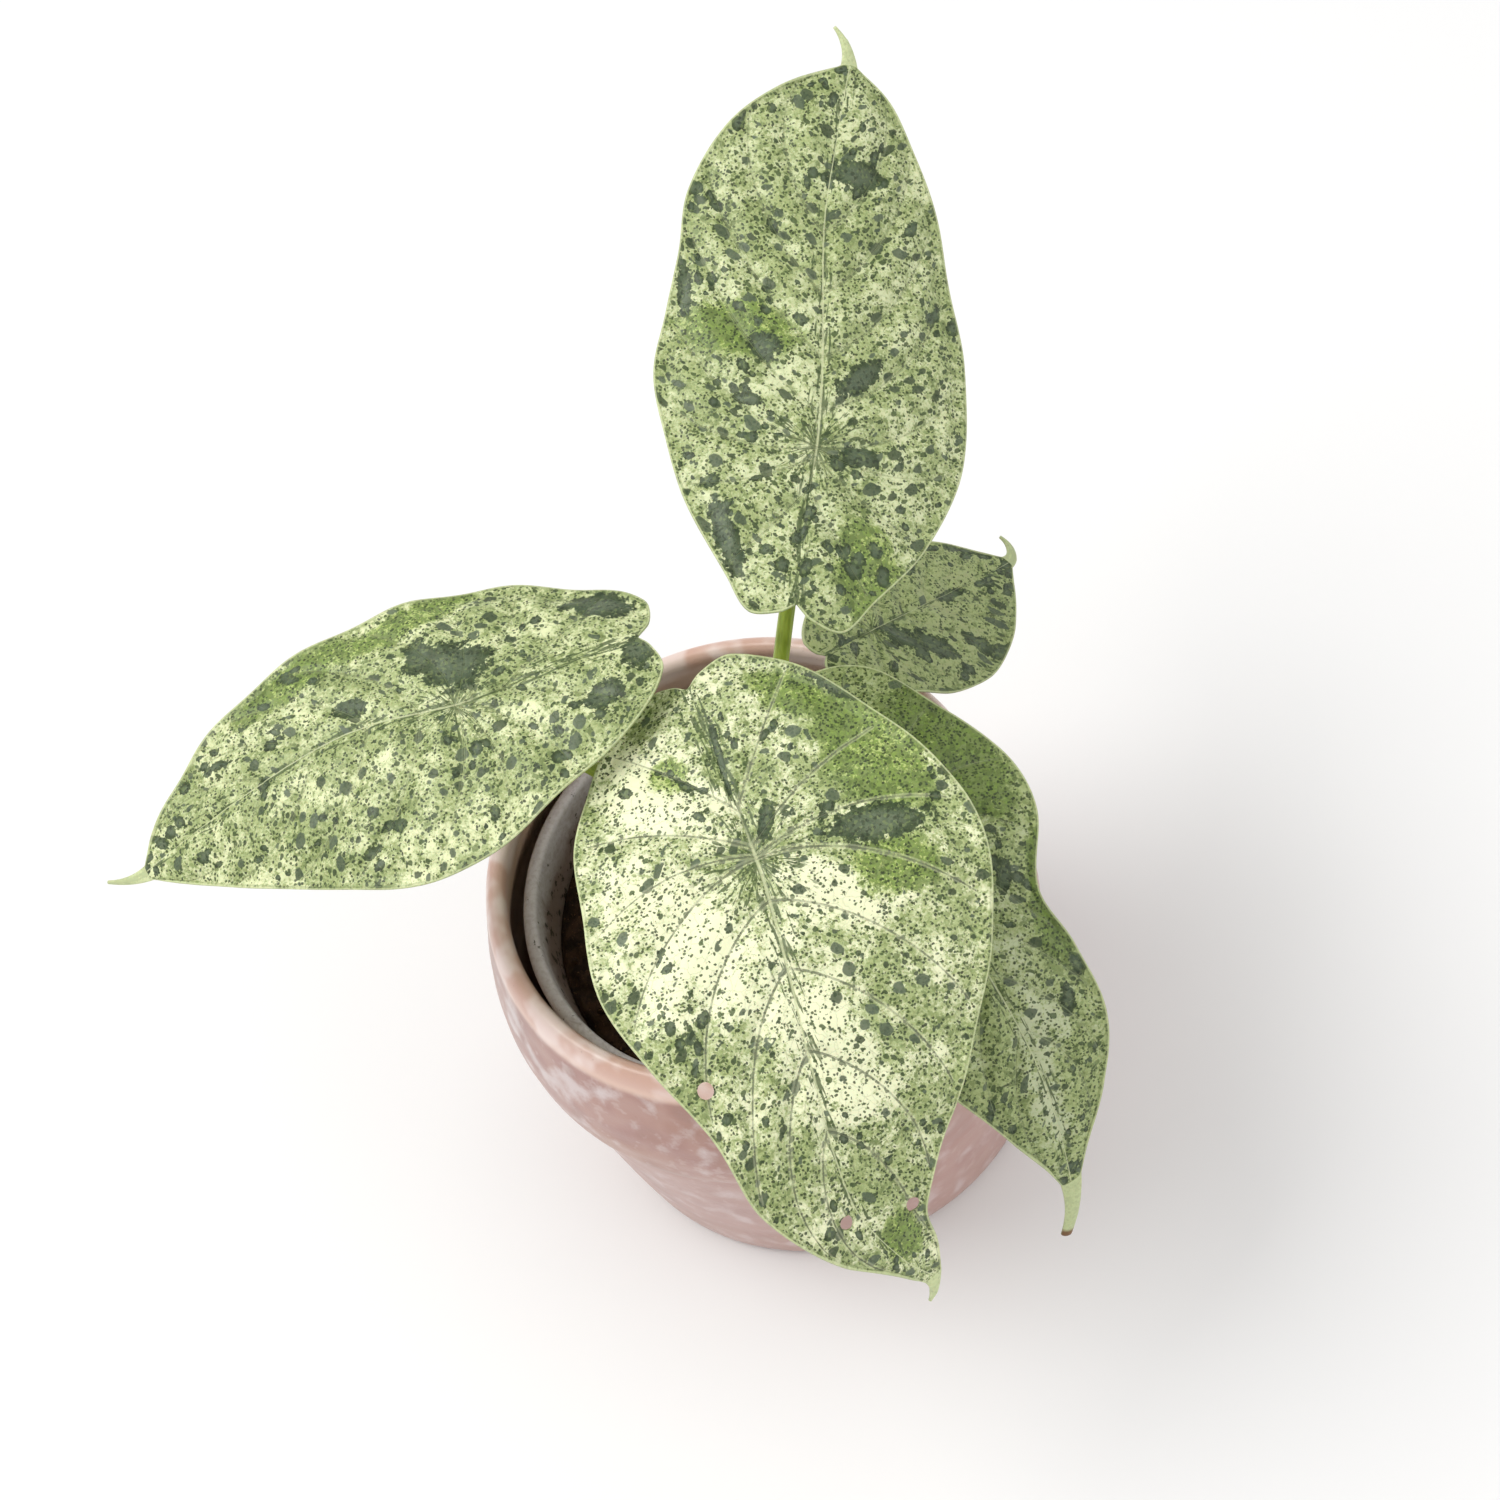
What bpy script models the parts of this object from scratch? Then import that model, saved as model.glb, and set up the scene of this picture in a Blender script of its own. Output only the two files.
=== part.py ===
"""Potted alocasia: five shield-shaped leaves on arching stalks, rooted in potting
mix inside a plain nursery pot, which stands in a glazed stoneware cover pot.

Sizes below are in millimetres and are scaled to metres when a mesh is made.
The origin is the centre of the cover pot's flat foot, and +Z is up.
"""
import math

import bmesh
import bpy
import numpy as np
from mathutils import Matrix, Vector

MM = 0.001
FIT = 0.3                     # clearance between pieces that touch

# cover pot
POT_HEIGHT = 110.0
POT_RIM_RADIUS = 62.6
POT_BELLY_RADIUS = 68.5
POT_FOOT_RADIUS = 54.0
POT_MOUTH_RADIUS = 57.4
POT_FLOOR = 5.5
POT_SIDES = 48

# nursery pot
LINER_TOP = 97.0
LINER_LIP_RADIUS = 56.4
LINER_MOUTH_RADIUS = 52.9
LINER_BASE_RADIUS = 44.6
LINER_WALL = 1.2
LINER_SIDES = 40

# potting mix
SOIL_LEVEL = 82.0
SOIL_SIDES = 36
SOIL_RINGS = 9
SOIL_LUMP = 0.9

# leaf stalks
STALK_BURIED = 13.0           # length below the soil level
STALK_STRAIGHT = 4.0          # length above the soil level that stays upright
STALK_BASE_RADIUS = 3.4
STALK_MID_RADIUS = 2.1
STALK_TOP_RADIUS = 1.6
STALK_SIDES = 10
STALK_STEPS = 16

# leaf blades
BLADE_THICKNESS = 0.9
MARGIN_THICKNESS = 0.62
BLADE_ROWS = 32
BLADE_CELLS = 4               # cells from the midrib to each margin
TAIL_ROWS = 7
SHIELD_SHARE = 0.40           # share of the margin that wraps the lobes behind the stalk
PUNCH_SIDES = 12

# Half widths of a blade are given at these stations: shares of the lobe's length
# behind the stalk, then shares of the blade's length ahead of it.
WIDTH_STATIONS = (-0.80, -0.40, 0.0, 0.16, 0.32, 0.48, 0.65, 0.82, 0.93, 1.0)
# Where the margin turns round a lobe: share of the step back from the notch to the
# lobe's end, and share of the way out to it.
LOBE_TURN = (0.80, 0.36)

# Every leaf: where the stalk meets the blade; heading of the tip and its rise, in
# degrees; length ahead of the stalk, and the notch's depth behind it; degrees that the
# blade bends in 100 mm ahead of, behind and across the stalk; roll at the stalk and
# its gain at the tip; lift of the left and right halves; sideways drift of the tip;
# margin waves (height, count, phase); drip tail (length, degrees it curls to the left,
# rise of its end, half width there); midrib as (ahead of the stalk, out to the left);
# punched holes (ahead, out, radius). left and right: the lobe's end as (length behind
# the stalk, out from the midrib), then the half widths at the stations.
LEAVES = {
    "top": dict(
        at=(51, 29, 205), heading=62, rise=10, length=90, notch=38, bend=(-15, -7, 63),
        roll=21.5, twist=9, lift=(-1, -7.5), drift=1.5, waves=(0.5, 5, 0.6), tail=(9.5, 50, 1, 0.4),
        midrib=[(-38, 0), (-20, 1), (0, 0), (22, 1), (52, 3), (75, 1), (90, -1)],
        left=dict(lobe=(41, 10), widths=(16, 27, 34, 38, 37, 35, 34, 26, 15, 1)),
        right=dict(lobe=(42, 11), widths=(17, 28.5, 35, 37.5, 35, 31, 26, 19, 12, 3))),
    "left": dict(
        at=(-44, 13.5, 188), heading=181, rise=-1, length=84, notch=43, bend=(40, 23, 40),
        roll=1, twist=-19, lift=(-1, -0.5), drift=-10, waves=(0.6, 6, 1.9), tail=(11.5, -32, 0.5, 0.5),
        midrib=[(-43, 0), (-8, 0), (0, -0.5), (25, -5.5), (57, -2.5), (84, 1.5)],
        left=dict(lobe=(45.5, 11), widths=(22, 30, 36, 37, 34, 28, 21, 13.5, 8, 4)),
        right=dict(lobe=(48, 11.5), widths=(21, 31, 35.5, 35, 33, 29, 22, 13, 6, 0))),
    "front": dict(
        at=(5, -47.5, 180), heading=270.5, rise=-7, length=104, notch=46, bend=(65, 23, 11),
        roll=-3, twist=-22, lift=(0.5, 1.5), drift=1, waves=(0.6, 7, 0.4), tail=(8.5, -36, -1, 0.4),
        midrib=[(-46, 0), (0, 0), (23, -2.5), (46.5, -6.5), (75, -10), (94.5, -5), (104, -0.5)],
        punched=[(41, -28.5, 1.75), (78, -13, 1.6), (83.5, 2, 1.7)],
        left=dict(lobe=(49.5, 12), widths=(24, 37, 46, 46.5, 41, 32, 19.5, 5, 4, 2)),
        right=dict(lobe=(49, 8.5), widths=(23, 35, 39, 41.5, 37.5, 31.5, 29, 18.5, 8, 3))),
    "right": dict(
        at=(32.5, -37, 148), heading=288.5, rise=-13.5, length=91, notch=38, bend=(61, 23, 29),
        roll=5, twist=1.5, lift=(-2, -3.5), drift=-10.5, waves=(0.5, 6, 2.6), tail=(16, -20, 0, 1.45),
        midrib=[(-38, 0), (0, 0), (55, 1), (91, -0.5)],
        left=dict(lobe=(44, 14), widths=(25.5, 30.5, 34.5, 31.5, 21, 21.5, 21, 14, 6, 2.5)),
        right=dict(lobe=(45, 14), widths=(25.5, 32, 34, 33.5, 29.5, 24, 17.5, 10.5, 5.5, 3))),
    "small": dict(
        at=(50, 28.5, 133), heading=31, rise=-32, length=51, notch=17, bend=(-11, 29, 69),
        roll=17, twist=-4, lift=(6, -3), drift=-2, waves=(0.3, 5, 1.0), tail=(9, 120, 1.5, 0.4),
        midrib=[(-17, 0), (0, 0), (51, -0.5)],
        left=dict(lobe=(19.5, 5.5), widths=(9.5, 14, 18, 21.5, 23, 22, 18, 11.5, 6, 2)),
        right=dict(lobe=(20, 6), widths=(10, 15, 19, 22.5, 24, 23.5, 19.5, 12.5, 6, 2))),
}

# Every stalk: where it leaves the soil, the pull of its lower and upper reach (how
# far each end of the curve runs straight), and a sideways bow of the lower reach.
STALKS = {
    "top": dict(root=(8.0, 7.5), lower=56.0, upper=24.0, bow=(6.0, -6.0)),
    "left": dict(root=(-9.5, 4.0), lower=50.0, upper=34.0, bow=(2.0, 2.0)),
    "front": dict(root=(-8.0, -6.5), lower=56.0, upper=12.0, bow=(-24.0, -4.0)),
    "right": dict(root=(4.5, -9.5), lower=36.0, upper=20.0, bow=(2.0, -2.0)),
    "small": dict(root=(10.5, -1.8), lower=24.0, upper=16.0, bow=(6.0, 2.0)),
}

COLOURS = {
    "glaze": ((0.66, 0.46, 0.41), 0.35),
    "white_plastic": ((0.62, 0.60, 0.57), 0.5),
    "potting_mix": ((0.030, 0.016, 0.010), 0.95),
    "stalk": ((0.28, 0.34, 0.07), 0.45),
    "leaf_cream": ((0.72, 0.78, 0.47), 0.4),
    "leaf_green": ((0.36, 0.46, 0.22), 0.4),
}


def clear_scene():
    for old in list(bpy.data.objects):
        bpy.data.objects.remove(old, do_unlink=True)


def make_material(name):
    colour, roughness = COLOURS[name]
    material = bpy.data.materials.get(name) or bpy.data.materials.new(name)
    material.use_nodes = True
    shader = material.node_tree.nodes["Principled BSDF"]
    shader.inputs["Base Color"].default_value = (*colour, 1.0)
    shader.inputs["Roughness"].default_value = roughness
    shader.inputs["Metallic"].default_value = 0.0
    return material


def make_object(name, points, faces, material, smooth=True):
    mesh = bpy.data.meshes.new(name)
    mesh.from_pydata([tuple(p) for p in np.asarray(points) * MM], [], faces)
    mesh.update()
    if smooth:
        mesh.shade_smooth()
        mesh.set_sharp_from_angle(angle=math.radians(40))
    piece = bpy.data.objects.new(name, mesh)
    piece.data.materials.append(make_material(material))
    bpy.context.scene.collection.objects.link(piece)
    return piece


def smooth_curve(points, shares):
    """Cubic curve through the points, read at the given shares of its length."""
    points = np.asarray(points, float)
    reach = np.concatenate([[0.0], np.cumsum(np.linalg.norm(np.diff(points, axis=0), axis=1))])
    slope = np.empty_like(points)
    slope[1:-1] = (points[2:] - points[:-2]) / (reach[2:] - reach[:-2])[:, None]
    slope[0] = (points[1] - points[0]) / (reach[1] - reach[0])
    slope[-1] = (points[-1] - points[-2]) / (reach[-1] - reach[-2])
    where = np.asarray(shares) * reach[-1]
    k = np.clip(np.searchsorted(reach, where, side="right") - 1, 0, len(reach) - 2)
    span = (reach[k + 1] - reach[k])[:, None]
    q = (where - reach[k])[:, None] / span
    return ((2 * q**3 - 3 * q**2 + 1) * points[k] + (q**3 - 2 * q**2 + q) * span * slope[k]
            + (3 * q**2 - 2 * q**3) * points[k + 1] + (q**3 - q**2) * span * slope[k + 1])


def arc(start, turn, run):
    """Where a path ends after a run, with its angle growing by turn a millimetre."""
    turn = turn if abs(turn) > 1e-6 else 1e-6
    return ((np.sin(start + turn * run) - math.sin(start)) / turn,
            (math.cos(start) - np.cos(start + turn * run)) / turn)


def margin(leaf, side):
    """Outline of one half, from the notch round the lobe's end to the tail's root:
    points as (ahead of the stalk, out from the midrib)."""
    length, out = leaf[side]["lobe"]
    back, aside = LOBE_TURN
    points = [(-leaf["notch"], 0.0),
              (-leaf["notch"] - back * (length - leaf["notch"]), aside * out), (-length, out)]
    for share, width in zip(WIDTH_STATIONS, leaf[side]["widths"]):
        points.append((share * (length if share < 0 else leaf["length"]), width))
    return points


def spine(t, leaf):
    """Midrib station for each share t of the margin: notch, stalk, then tip."""
    notch = -leaf["notch"]
    shield = np.clip(t / SHIELD_SHARE, 0, 1)
    blade = np.clip((t - SHIELD_SHARE) / (1 - SHIELD_SHARE), 0, 1)
    return notch * (1 - shield**0.8) + leaf["length"] * blade**1.25


def bent(ahead, out, lift, leaf):
    """A point of the flat leaf (ahead of the stalk, out to the left, lift above the
    blade) carried onto the bent, rolled and arched blade."""
    ahead, out = np.asarray(ahead, float), np.asarray(out, float)
    rise = math.radians(leaf["rise"])
    front, back = np.maximum(ahead, 0), np.minimum(ahead, 0)
    bend_front, bend_back, turn = np.radians(leaf["bend"]) / 100
    x1, z1 = arc(rise, -bend_front, front)
    x2, z2 = arc(rise, -bend_back, back)
    pitch = rise - bend_front * front - bend_back * back
    left_share = 0.5 + 0.5 * np.tanh(out / 4.0)
    lift_left, lift_right = leaf["lift"]
    dihedral = np.radians(lift_right + (lift_left - lift_right) * left_share)
    width = np.abs(out)
    across = np.sign(out) * (np.sin(dihedral - turn * width) - np.sin(dihedral)) / -turn
    above = (np.cos(dihedral) - np.cos(dihedral - turn * width)) / -turn + lift
    across = across - np.sign(out) * np.sin(dihedral - turn * width) * lift
    roll = np.radians(leaf["roll"] + leaf["twist"] * ahead / leaf["length"])
    side = across + leaf["drift"] * (front / leaf["length"]) ** 2
    y = side * np.cos(roll) - above * np.sin(roll)
    n = side * np.sin(roll) + above * np.cos(roll)
    x = x1 + x2 - np.sin(pitch) * n
    z = z1 + z2 + np.cos(pitch) * n
    c, s = math.cos(math.radians(leaf["heading"])), math.sin(math.radians(leaf["heading"]))
    ox, oy, oz = leaf["at"]
    return np.stack([ox + c * x - s * y, oy + s * x + c * y, oz + z], axis=-1)


def blade_surface(leaf, rows, cells):
    """Middle surface of the blade, rows of points from the left margin to the right,
    with the half thickness at every point."""
    t = np.linspace(0, 1, rows + 1)
    left, right = (smooth_curve(margin(leaf, side), t) for side in ("left", "right"))
    middle = spine(t, leaf)[:, None]
    stray = np.interp(middle, *np.array(leaf["midrib"]).T)
    share = np.linspace(-1, 1, 2 * cells + 1)            # -1 left margin, +1 right margin
    part = np.abs(share)[None, :]
    edge = np.where(share[None, :, None] <= 0, left[:, None], right[:, None])
    ahead = middle + part * (edge[..., 0] - middle)
    out = stray + part * (-np.sign(share)[None, :] * edge[..., 1] - stray)
    height, count, phase = leaf["waves"]
    fade = np.clip(t / 0.12, 0, 1) * np.clip((1 - t) / 0.15, 0, 1)
    wave = height * part**2 * fade[:, None] * np.sin(
        2 * math.pi * count * t[:, None] + phase + 1.7 * (share[None, :] > 0))
    points = bent(ahead, out, wave, leaf)
    half = 0.5 * (BLADE_THICKNESS + (MARGIN_THICKNESS - BLADE_THICKNESS) * part**3)
    half = np.repeat(half, rows + 1, axis=0)
    # drip tail: the last row drawn out, curled sideways and thickened to a round thread
    root = (left[-1, 1] + right[-1, 1]) / 2
    centre = (left[-1, 1] - right[-1, 1]) / 2
    long, curl, upward, end = leaf["tail"]
    q = np.linspace(0, 1, TAIL_ROWS + 1)[1:, None]
    width = end + (root - end) * (1 - q) ** 1.3
    turn = math.radians(curl)
    run, aside = arc(0.0, turn / long, long * q)
    tail_ahead = leaf["length"] + run + share * width * np.sin(turn * q)
    tail_out = centre + aside - share * width * np.cos(turn * q)
    tail = bent(tail_ahead, tail_out, upward * q**2 + 0 * part, leaf)
    round_half = np.minimum(width, 0.9) * np.sqrt(np.maximum(1 - (0.97 * part) ** 2, 0))
    blend = np.clip(q * 2.5, 0, 1)
    tail_half = half[-1][None, :] * (1 - blend) + round_half * blend
    return np.concatenate([points, tail]), np.concatenate([half, tail_half])


def surface_normals(grid):
    """Unit normals of a grid of points; rows run from tip to notch, columns across."""
    along = np.empty_like(grid)
    along[1:-1] = grid[2:] - grid[:-2]
    along[0], along[-1] = grid[1] - grid[0], grid[-1] - grid[-2]
    across = np.empty_like(grid)
    across[:, 1:-1] = grid[:, 2:] - grid[:, :-2]
    across[:, 0], across[:, -1] = grid[:, 1] - grid[:, 0], grid[:, -1] - grid[:, -2]
    across[0] = across[1]
    normal = np.cross(across, along)
    return normal / np.linalg.norm(normal, axis=-1, keepdims=True)


def make_leaf(name, leaf, material):
    """Closed blade: the middle surface pushed up and down by its half thickness. Row 0
    is the notch, where all columns meet in one point. Both faces are split into
    triangles alike, and narrow walls join them along the margin."""
    grid, half = blade_surface(leaf, BLADE_ROWS, BLADE_CELLS)
    normal = surface_normals(grid)
    upper, lower = grid + normal * half[..., None], grid - normal * half[..., None]
    rows, columns = grid.shape[:2]
    points = [upper[0, BLADE_CELLS], lower[0, BLADE_CELLS]]
    points += list(upper[1:].reshape(-1, 3)) + list(lower[1:].reshape(-1, 3))
    count = (rows - 1) * columns

    def top(i, j):
        return 0 if i == 0 else 2 + (i - 1) * columns + j

    def bottom(i, j):
        return 1 if i == 0 else 2 + count + (i - 1) * columns + j

    faces = []
    for i in range(rows - 1):
        for j in range(columns - 1):
            if j < BLADE_CELLS:
                split = [((i, j), (i + 1, j), (i + 1, j + 1)), ((i, j), (i + 1, j + 1), (i, j + 1))]
            else:
                split = [((i, j), (i + 1, j), (i, j + 1)), ((i + 1, j), (i + 1, j + 1), (i, j + 1))]
            for three in split:
                a, b, c = (top(*k) for k in three)
                if len({a, b, c}) == 3:
                    faces.append((a, c, b))
                a, b, c = (bottom(*k) for k in three)
                if len({a, b, c}) == 3:
                    faces.append((a, b, c))
    last = columns - 1
    for i in range(rows - 1):
        for j, order in ((0, -1), (last, 1)):
            a, b, c, d = top(i, j), top(i + 1, j), bottom(i + 1, j), bottom(i, j)
            for three in ((a, d, c), (a, c, b)):
                if len(set(three)) == 3:
                    faces.append(three[::order])
    end = [top(rows - 1, j) for j in range(columns)]
    end += [bottom(rows - 1, j) for j in range(columns - 1, -1, -1)]
    faces.append(tuple(end))
    return make_object(name, points, faces, material)


def blade_frame(leaf, x=0.0, y=0.0):
    """Stalk seat on the blade, or another spot: point, forward, leftward and upward
    directions."""
    step = 0.5
    here = bent(x, y, 0.0, leaf)
    ahead = bent(x + step, y, 0.0, leaf) - bent(x - step, y, 0.0, leaf)
    leftward = bent(x, y + step, 0.0, leaf) - bent(x, y - step, 0.0, leaf)
    ahead, leftward = ahead / np.linalg.norm(ahead), leftward / np.linalg.norm(leftward)
    upward = np.cross(ahead, leftward)
    return here, ahead, leftward, upward / np.linalg.norm(upward)


def punch(blade, leaf):
    """Round holes through the blade, each cut square to it by a short cylinder."""
    mesh = bmesh.new()
    for x, y, radius in leaf["punched"]:
        here, ahead, leftward, upward = blade_frame(leaf, x, y)
        axes = Matrix([ahead, np.cross(upward, ahead), upward]).transposed()
        place = Matrix.Translation(Vector(here * MM)) @ axes.to_4x4()
        bmesh.ops.create_cone(mesh, cap_ends=True, segments=PUNCH_SIDES, depth=6 * MM,
                              radius1=radius * MM, radius2=radius * MM, matrix=place)
    cut_away(blade, mesh, "punch_cutter")


def cut_away(piece, mesh, name):
    """Cut the piece with the closed bodies of a mesh."""
    data = bpy.data.meshes.new(name)
    mesh.to_mesh(data)
    mesh.free()
    cutter = bpy.data.objects.new(name, data)
    cutter.hide_render = True
    cutter.display_type = "WIRE"
    bpy.context.scene.collection.objects.link(cutter)
    cut = piece.modifiers.new(name, "BOOLEAN")
    cut.operation = "DIFFERENCE"
    cut.solver = "EXACT"
    cut.object = cutter


def stalk_path(leaf, stalk):
    """Centre points of a stalk: straight out of the soil, then one cubic sweep that
    comes up under the blade, a little from behind the seat."""
    here, ahead, leftward, upward = blade_frame(leaf)
    x, y = stalk["root"]
    foot = np.array([x, y, SOIL_LEVEL - STALK_BURIED])
    start = np.array([x, y, SOIL_LEVEL + STALK_STRAIGHT])
    end = here - upward * (BLADE_THICKNESS / 2 + FIT + 0.25)
    arrive = -upward - 0.55 * ahead
    arrive = arrive / np.linalg.norm(arrive)
    first = start + np.array([stalk["bow"][0], stalk["bow"][1], stalk["lower"]])
    second = end + arrive * stalk["upper"]
    q = np.linspace(0, 1, STALK_STEPS + 1)[:, None]
    sweep = ((1 - q) ** 3 * start + 3 * (1 - q) ** 2 * q * first
             + 3 * (1 - q) * q**2 * second + q**3 * end)
    return np.concatenate([foot[None], sweep])


def make_stalk(name, leaf, stalk):
    """Tapered round stalk; its top ring lies in the plane of the blade's underside."""
    path = stalk_path(leaf, stalk)
    here, ahead, leftward, upward = blade_frame(leaf)
    reach = np.linspace(0, 1, STALK_STEPS + 1)
    radius = STALK_TOP_RADIUS + (STALK_MID_RADIUS - STALK_TOP_RADIUS) * (1 - reach)
    radius += (STALK_BASE_RADIUS - STALK_MID_RADIUS) * np.clip(1 - reach / 0.35, 0, 1) ** 1.6
    radius = np.concatenate([[STALK_BASE_RADIUS], radius])
    tangent = np.gradient(path, axis=0)
    tangent[0] = tangent[1] = (0, 0, 1)
    tangent /= np.linalg.norm(tangent, axis=1, keepdims=True)
    tangent[-1] = upward
    tangent[-2] = tangent[-2] + 0.5 * upward
    tangent[-2] /= np.linalg.norm(tangent[-2])
    side = np.array([1.0, 0.0, 0.0])
    angle = np.linspace(0, 2 * math.pi, STALK_SIDES, endpoint=False)
    points = []
    for centre, forward, r in zip(path, tangent, radius):
        side = side - forward * side.dot(forward)
        side /= np.linalg.norm(side)
        other = np.cross(forward, side)
        points += [centre + r * (math.cos(a) * side + math.sin(a) * other) for a in angle]
    n = STALK_SIDES
    faces = [tuple(range(n - 1, -1, -1))]
    for i in range(len(path) - 1):
        for j in range(n):
            a, b = i * n + j, i * n + (j + 1) % n
            faces += [(a, b, b + n), (a, b + n, a + n)]
    faces.append(tuple(range((len(path) - 1) * n, len(path) * n)))
    return make_object(name, points, faces, "stalk")


def turned(name, profile, sides, material):
    """Profile of (radius, height) turned about Z; it starts and ends on the axis."""
    points, rings = [], []
    for radius, height in profile:
        if radius < 1e-6:
            rings.append([len(points)])
            points.append((0, 0, height))
        else:
            rings.append(list(range(len(points), len(points) + sides)))
            for k in range(sides):
                a = 2 * math.pi * k / sides
                points.append((radius * math.cos(a), radius * math.sin(a), height))
    faces = []
    for low, high in zip(rings[:-1], rings[1:]):
        for k in range(sides):
            m = (k + 1) % sides
            if len(low) == 1:
                faces.append((low[0], high[m], high[k]))
            elif len(high) == 1:
                faces.append((low[k], low[m], high[0]))
            else:
                faces.append((low[k], low[m], high[m], high[k]))
    return make_object(name, points, faces, material)


def make_pot():
    """Cover pot: tapered lower body, a step, a swelling upper band and a rounded lip."""
    top, rim, belly = POT_HEIGHT, POT_RIM_RADIUS, POT_BELLY_RADIUS
    mouth, floor, foot = POT_MOUTH_RADIUS, POT_FLOOR, POT_FOOT_RADIUS
    profile = [
        (0, 0), (foot, 0), (foot + 3.6, 1.1), (foot + 5.0, 3.6),
        (foot + 7.2, 22), (foot + 9.4, 44), (foot + 11.0, 62), (foot + 11.4, 65.4),
        (belly - 1.7, 66.6), (belly - 0.7, 68.4), (belly - 0.1, 73), (belly, 78),
        (belly - 0.6, 84.5), (belly - 2.0, 92), (rim + 2.0, 99.5), (rim + 0.6, 105),
        (rim - 0.4, top - 2.0), (rim - 1.7, top - 0.45), (rim - 3.0, top),
        (mouth + 0.9, top - 0.5), (mouth, top - 2.2), (mouth + 0.5, 104), (mouth + 2.6, 95),
        (belly - 5.2, 84), (belly - 5.4, 74), (belly - 7.4, 64), (foot + 4.6, 40),
        (foot + 1.4, 12), (foot - 1.5, floor + 1.2), (foot - 6, floor), (0, floor)]
    return turned("cover_pot", profile, POT_SIDES, "glaze")


def liner_inner_radius(height):
    share = (height - POT_FLOOR) / (LINER_TOP - POT_FLOOR)
    return LINER_BASE_RADIUS - LINER_WALL + share * (LINER_MOUTH_RADIUS - LINER_BASE_RADIUS + LINER_WALL)


def make_liner():
    """Nursery pot: thin tapered wall, flat lip turned down at its edge."""
    base = POT_FLOOR + FIT
    wall, lip, top = LINER_WALL, LINER_LIP_RADIUS, LINER_TOP
    inside = [(liner_inner_radius(h), h) for h in (top - 0.9, 80.0, 45.0, base + wall + 2.0)]
    profile = [
        (0, base), (LINER_BASE_RADIUS - 1.5, base), (LINER_BASE_RADIUS, base + 1.5),
        (liner_inner_radius(45.0) + wall, 45.0), (liner_inner_radius(top - 5) + wall, top - 3.2),
        (lip - 1.4, top - 1.6), (lip - 1.3, top - 6.0), (lip - 0.1, top - 6.0),
        (lip, top - 0.9), (lip - 0.9, top), (LINER_MOUTH_RADIUS + 0.8, top), *inside,
        (LINER_BASE_RADIUS - 3.5, base + wall), (0, base + wall)]
    return turned("nursery_pot", profile, LINER_SIDES, "white_plastic")


def soil_height(x, y):
    """Lumpy top of the potting mix: three crossed waves."""
    return (SOIL_LEVEL + SOIL_LUMP * (0.5 * math.sin(0.31 * x + 0.9) * math.cos(0.27 * y)
                                      + 0.35 * math.sin(0.55 * y + 0.4 * x)
                                      + 0.25 * math.cos(0.83 * x - 0.61 * y + 1.3)))


def make_soil():
    """Potting mix filling the nursery pot, with a plain hole for each stalk."""
    bottom = POT_FLOOR + FIT + LINER_WALL + FIT
    sides, rings = SOIL_SIDES, SOIL_RINGS
    points = [(0, 0, soil_height(0, 0))]
    for i in range(1, rings + 1):
        for k in range(sides):
            a = 2 * math.pi * (k + 0.5 * (i % 2)) / sides
            r = (liner_inner_radius(SOIL_LEVEL - 1.5) - FIT - 0.35) * i / rings
            x, y = r * math.cos(a), r * math.sin(a)
            points.append((x, y, soil_height(x, y)))
    shift = 0.5 * (rings % 2)
    for height, inset in ((45.0, 0.25), (bottom + 3.2, 0.25), (bottom, 3.2)):
        for k in range(sides):
            a = 2 * math.pi * (k + shift) / sides
            r = liner_inner_radius(height) - FIT - inset
            points.append((r * math.cos(a), r * math.sin(a), height))
    points.append((0, 0, bottom))
    faces = [(0, 1 + k, 1 + (k + 1) % sides) for k in range(sides)]
    for i in range(rings + 2):
        for k in range(sides):
            m = (k + 1) % sides
            a, b = 1 + i * sides + k, 1 + i * sides + m
            c, d = a + sides, b + sides
            if i < rings - 1 and i % 2 == 1:
                faces += [(a, c, d), (a, d, b)]
            elif i < rings - 1:
                faces += [(a, c, b), (b, c, d)]
            else:
                faces += [(a, c, d), (a, d, b)]
    low, pole = 1 + (rings + 2) * sides, len(points) - 1
    faces += [(pole, low + (k + 1) % sides, low + k) for k in range(sides)]
    soil = make_object("soil", points, faces, "potting_mix")
    cut_away(soil, stalk_holes(), "stalk_hole_cutter")
    return soil


def stalk_holes():
    """Upright cylinders, one round every stalk's buried length."""
    mesh = bmesh.new()
    depth = STALK_BURIED + FIT + 6
    for stalk in STALKS.values():
        made = bmesh.ops.create_cone(
            mesh, cap_ends=True, segments=14, depth=depth * MM,
            radius1=(STALK_BASE_RADIUS + FIT) * MM / math.cos(math.pi / 14),
            radius2=(STALK_BASE_RADIUS + FIT) * MM / math.cos(math.pi / 14))
        x, y = stalk["root"]
        centre = SOIL_LEVEL - STALK_BURIED - FIT + depth / 2
        bmesh.ops.translate(mesh, verts=made["verts"], vec=(x * MM, y * MM, centre * MM))
    return mesh


def main():
    clear_scene()
    make_pot()
    make_liner()
    make_soil()
    for name, leaf in LEAVES.items():
        blade = make_leaf("leaf_" + name, leaf, "leaf_cream" if name in ("top", "front") else "leaf_green")
        if "punched" in leaf:
            punch(blade, leaf)
        make_stalk("stalk_" + name, leaf, STALKS[name])


main()
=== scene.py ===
"""Potted variegated alocasia: five shield-shaped leaves, their stalks, crumbly potting
mix, a dusty nursery pot and a mottled glazed cover pot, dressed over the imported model.

Lengths are in millimetres until a mesh is made. The camera looks down from the front,
rolled a little, as the plant was seen.
"""
import math

import bpy
import numpy as np
from mathutils import Matrix


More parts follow.
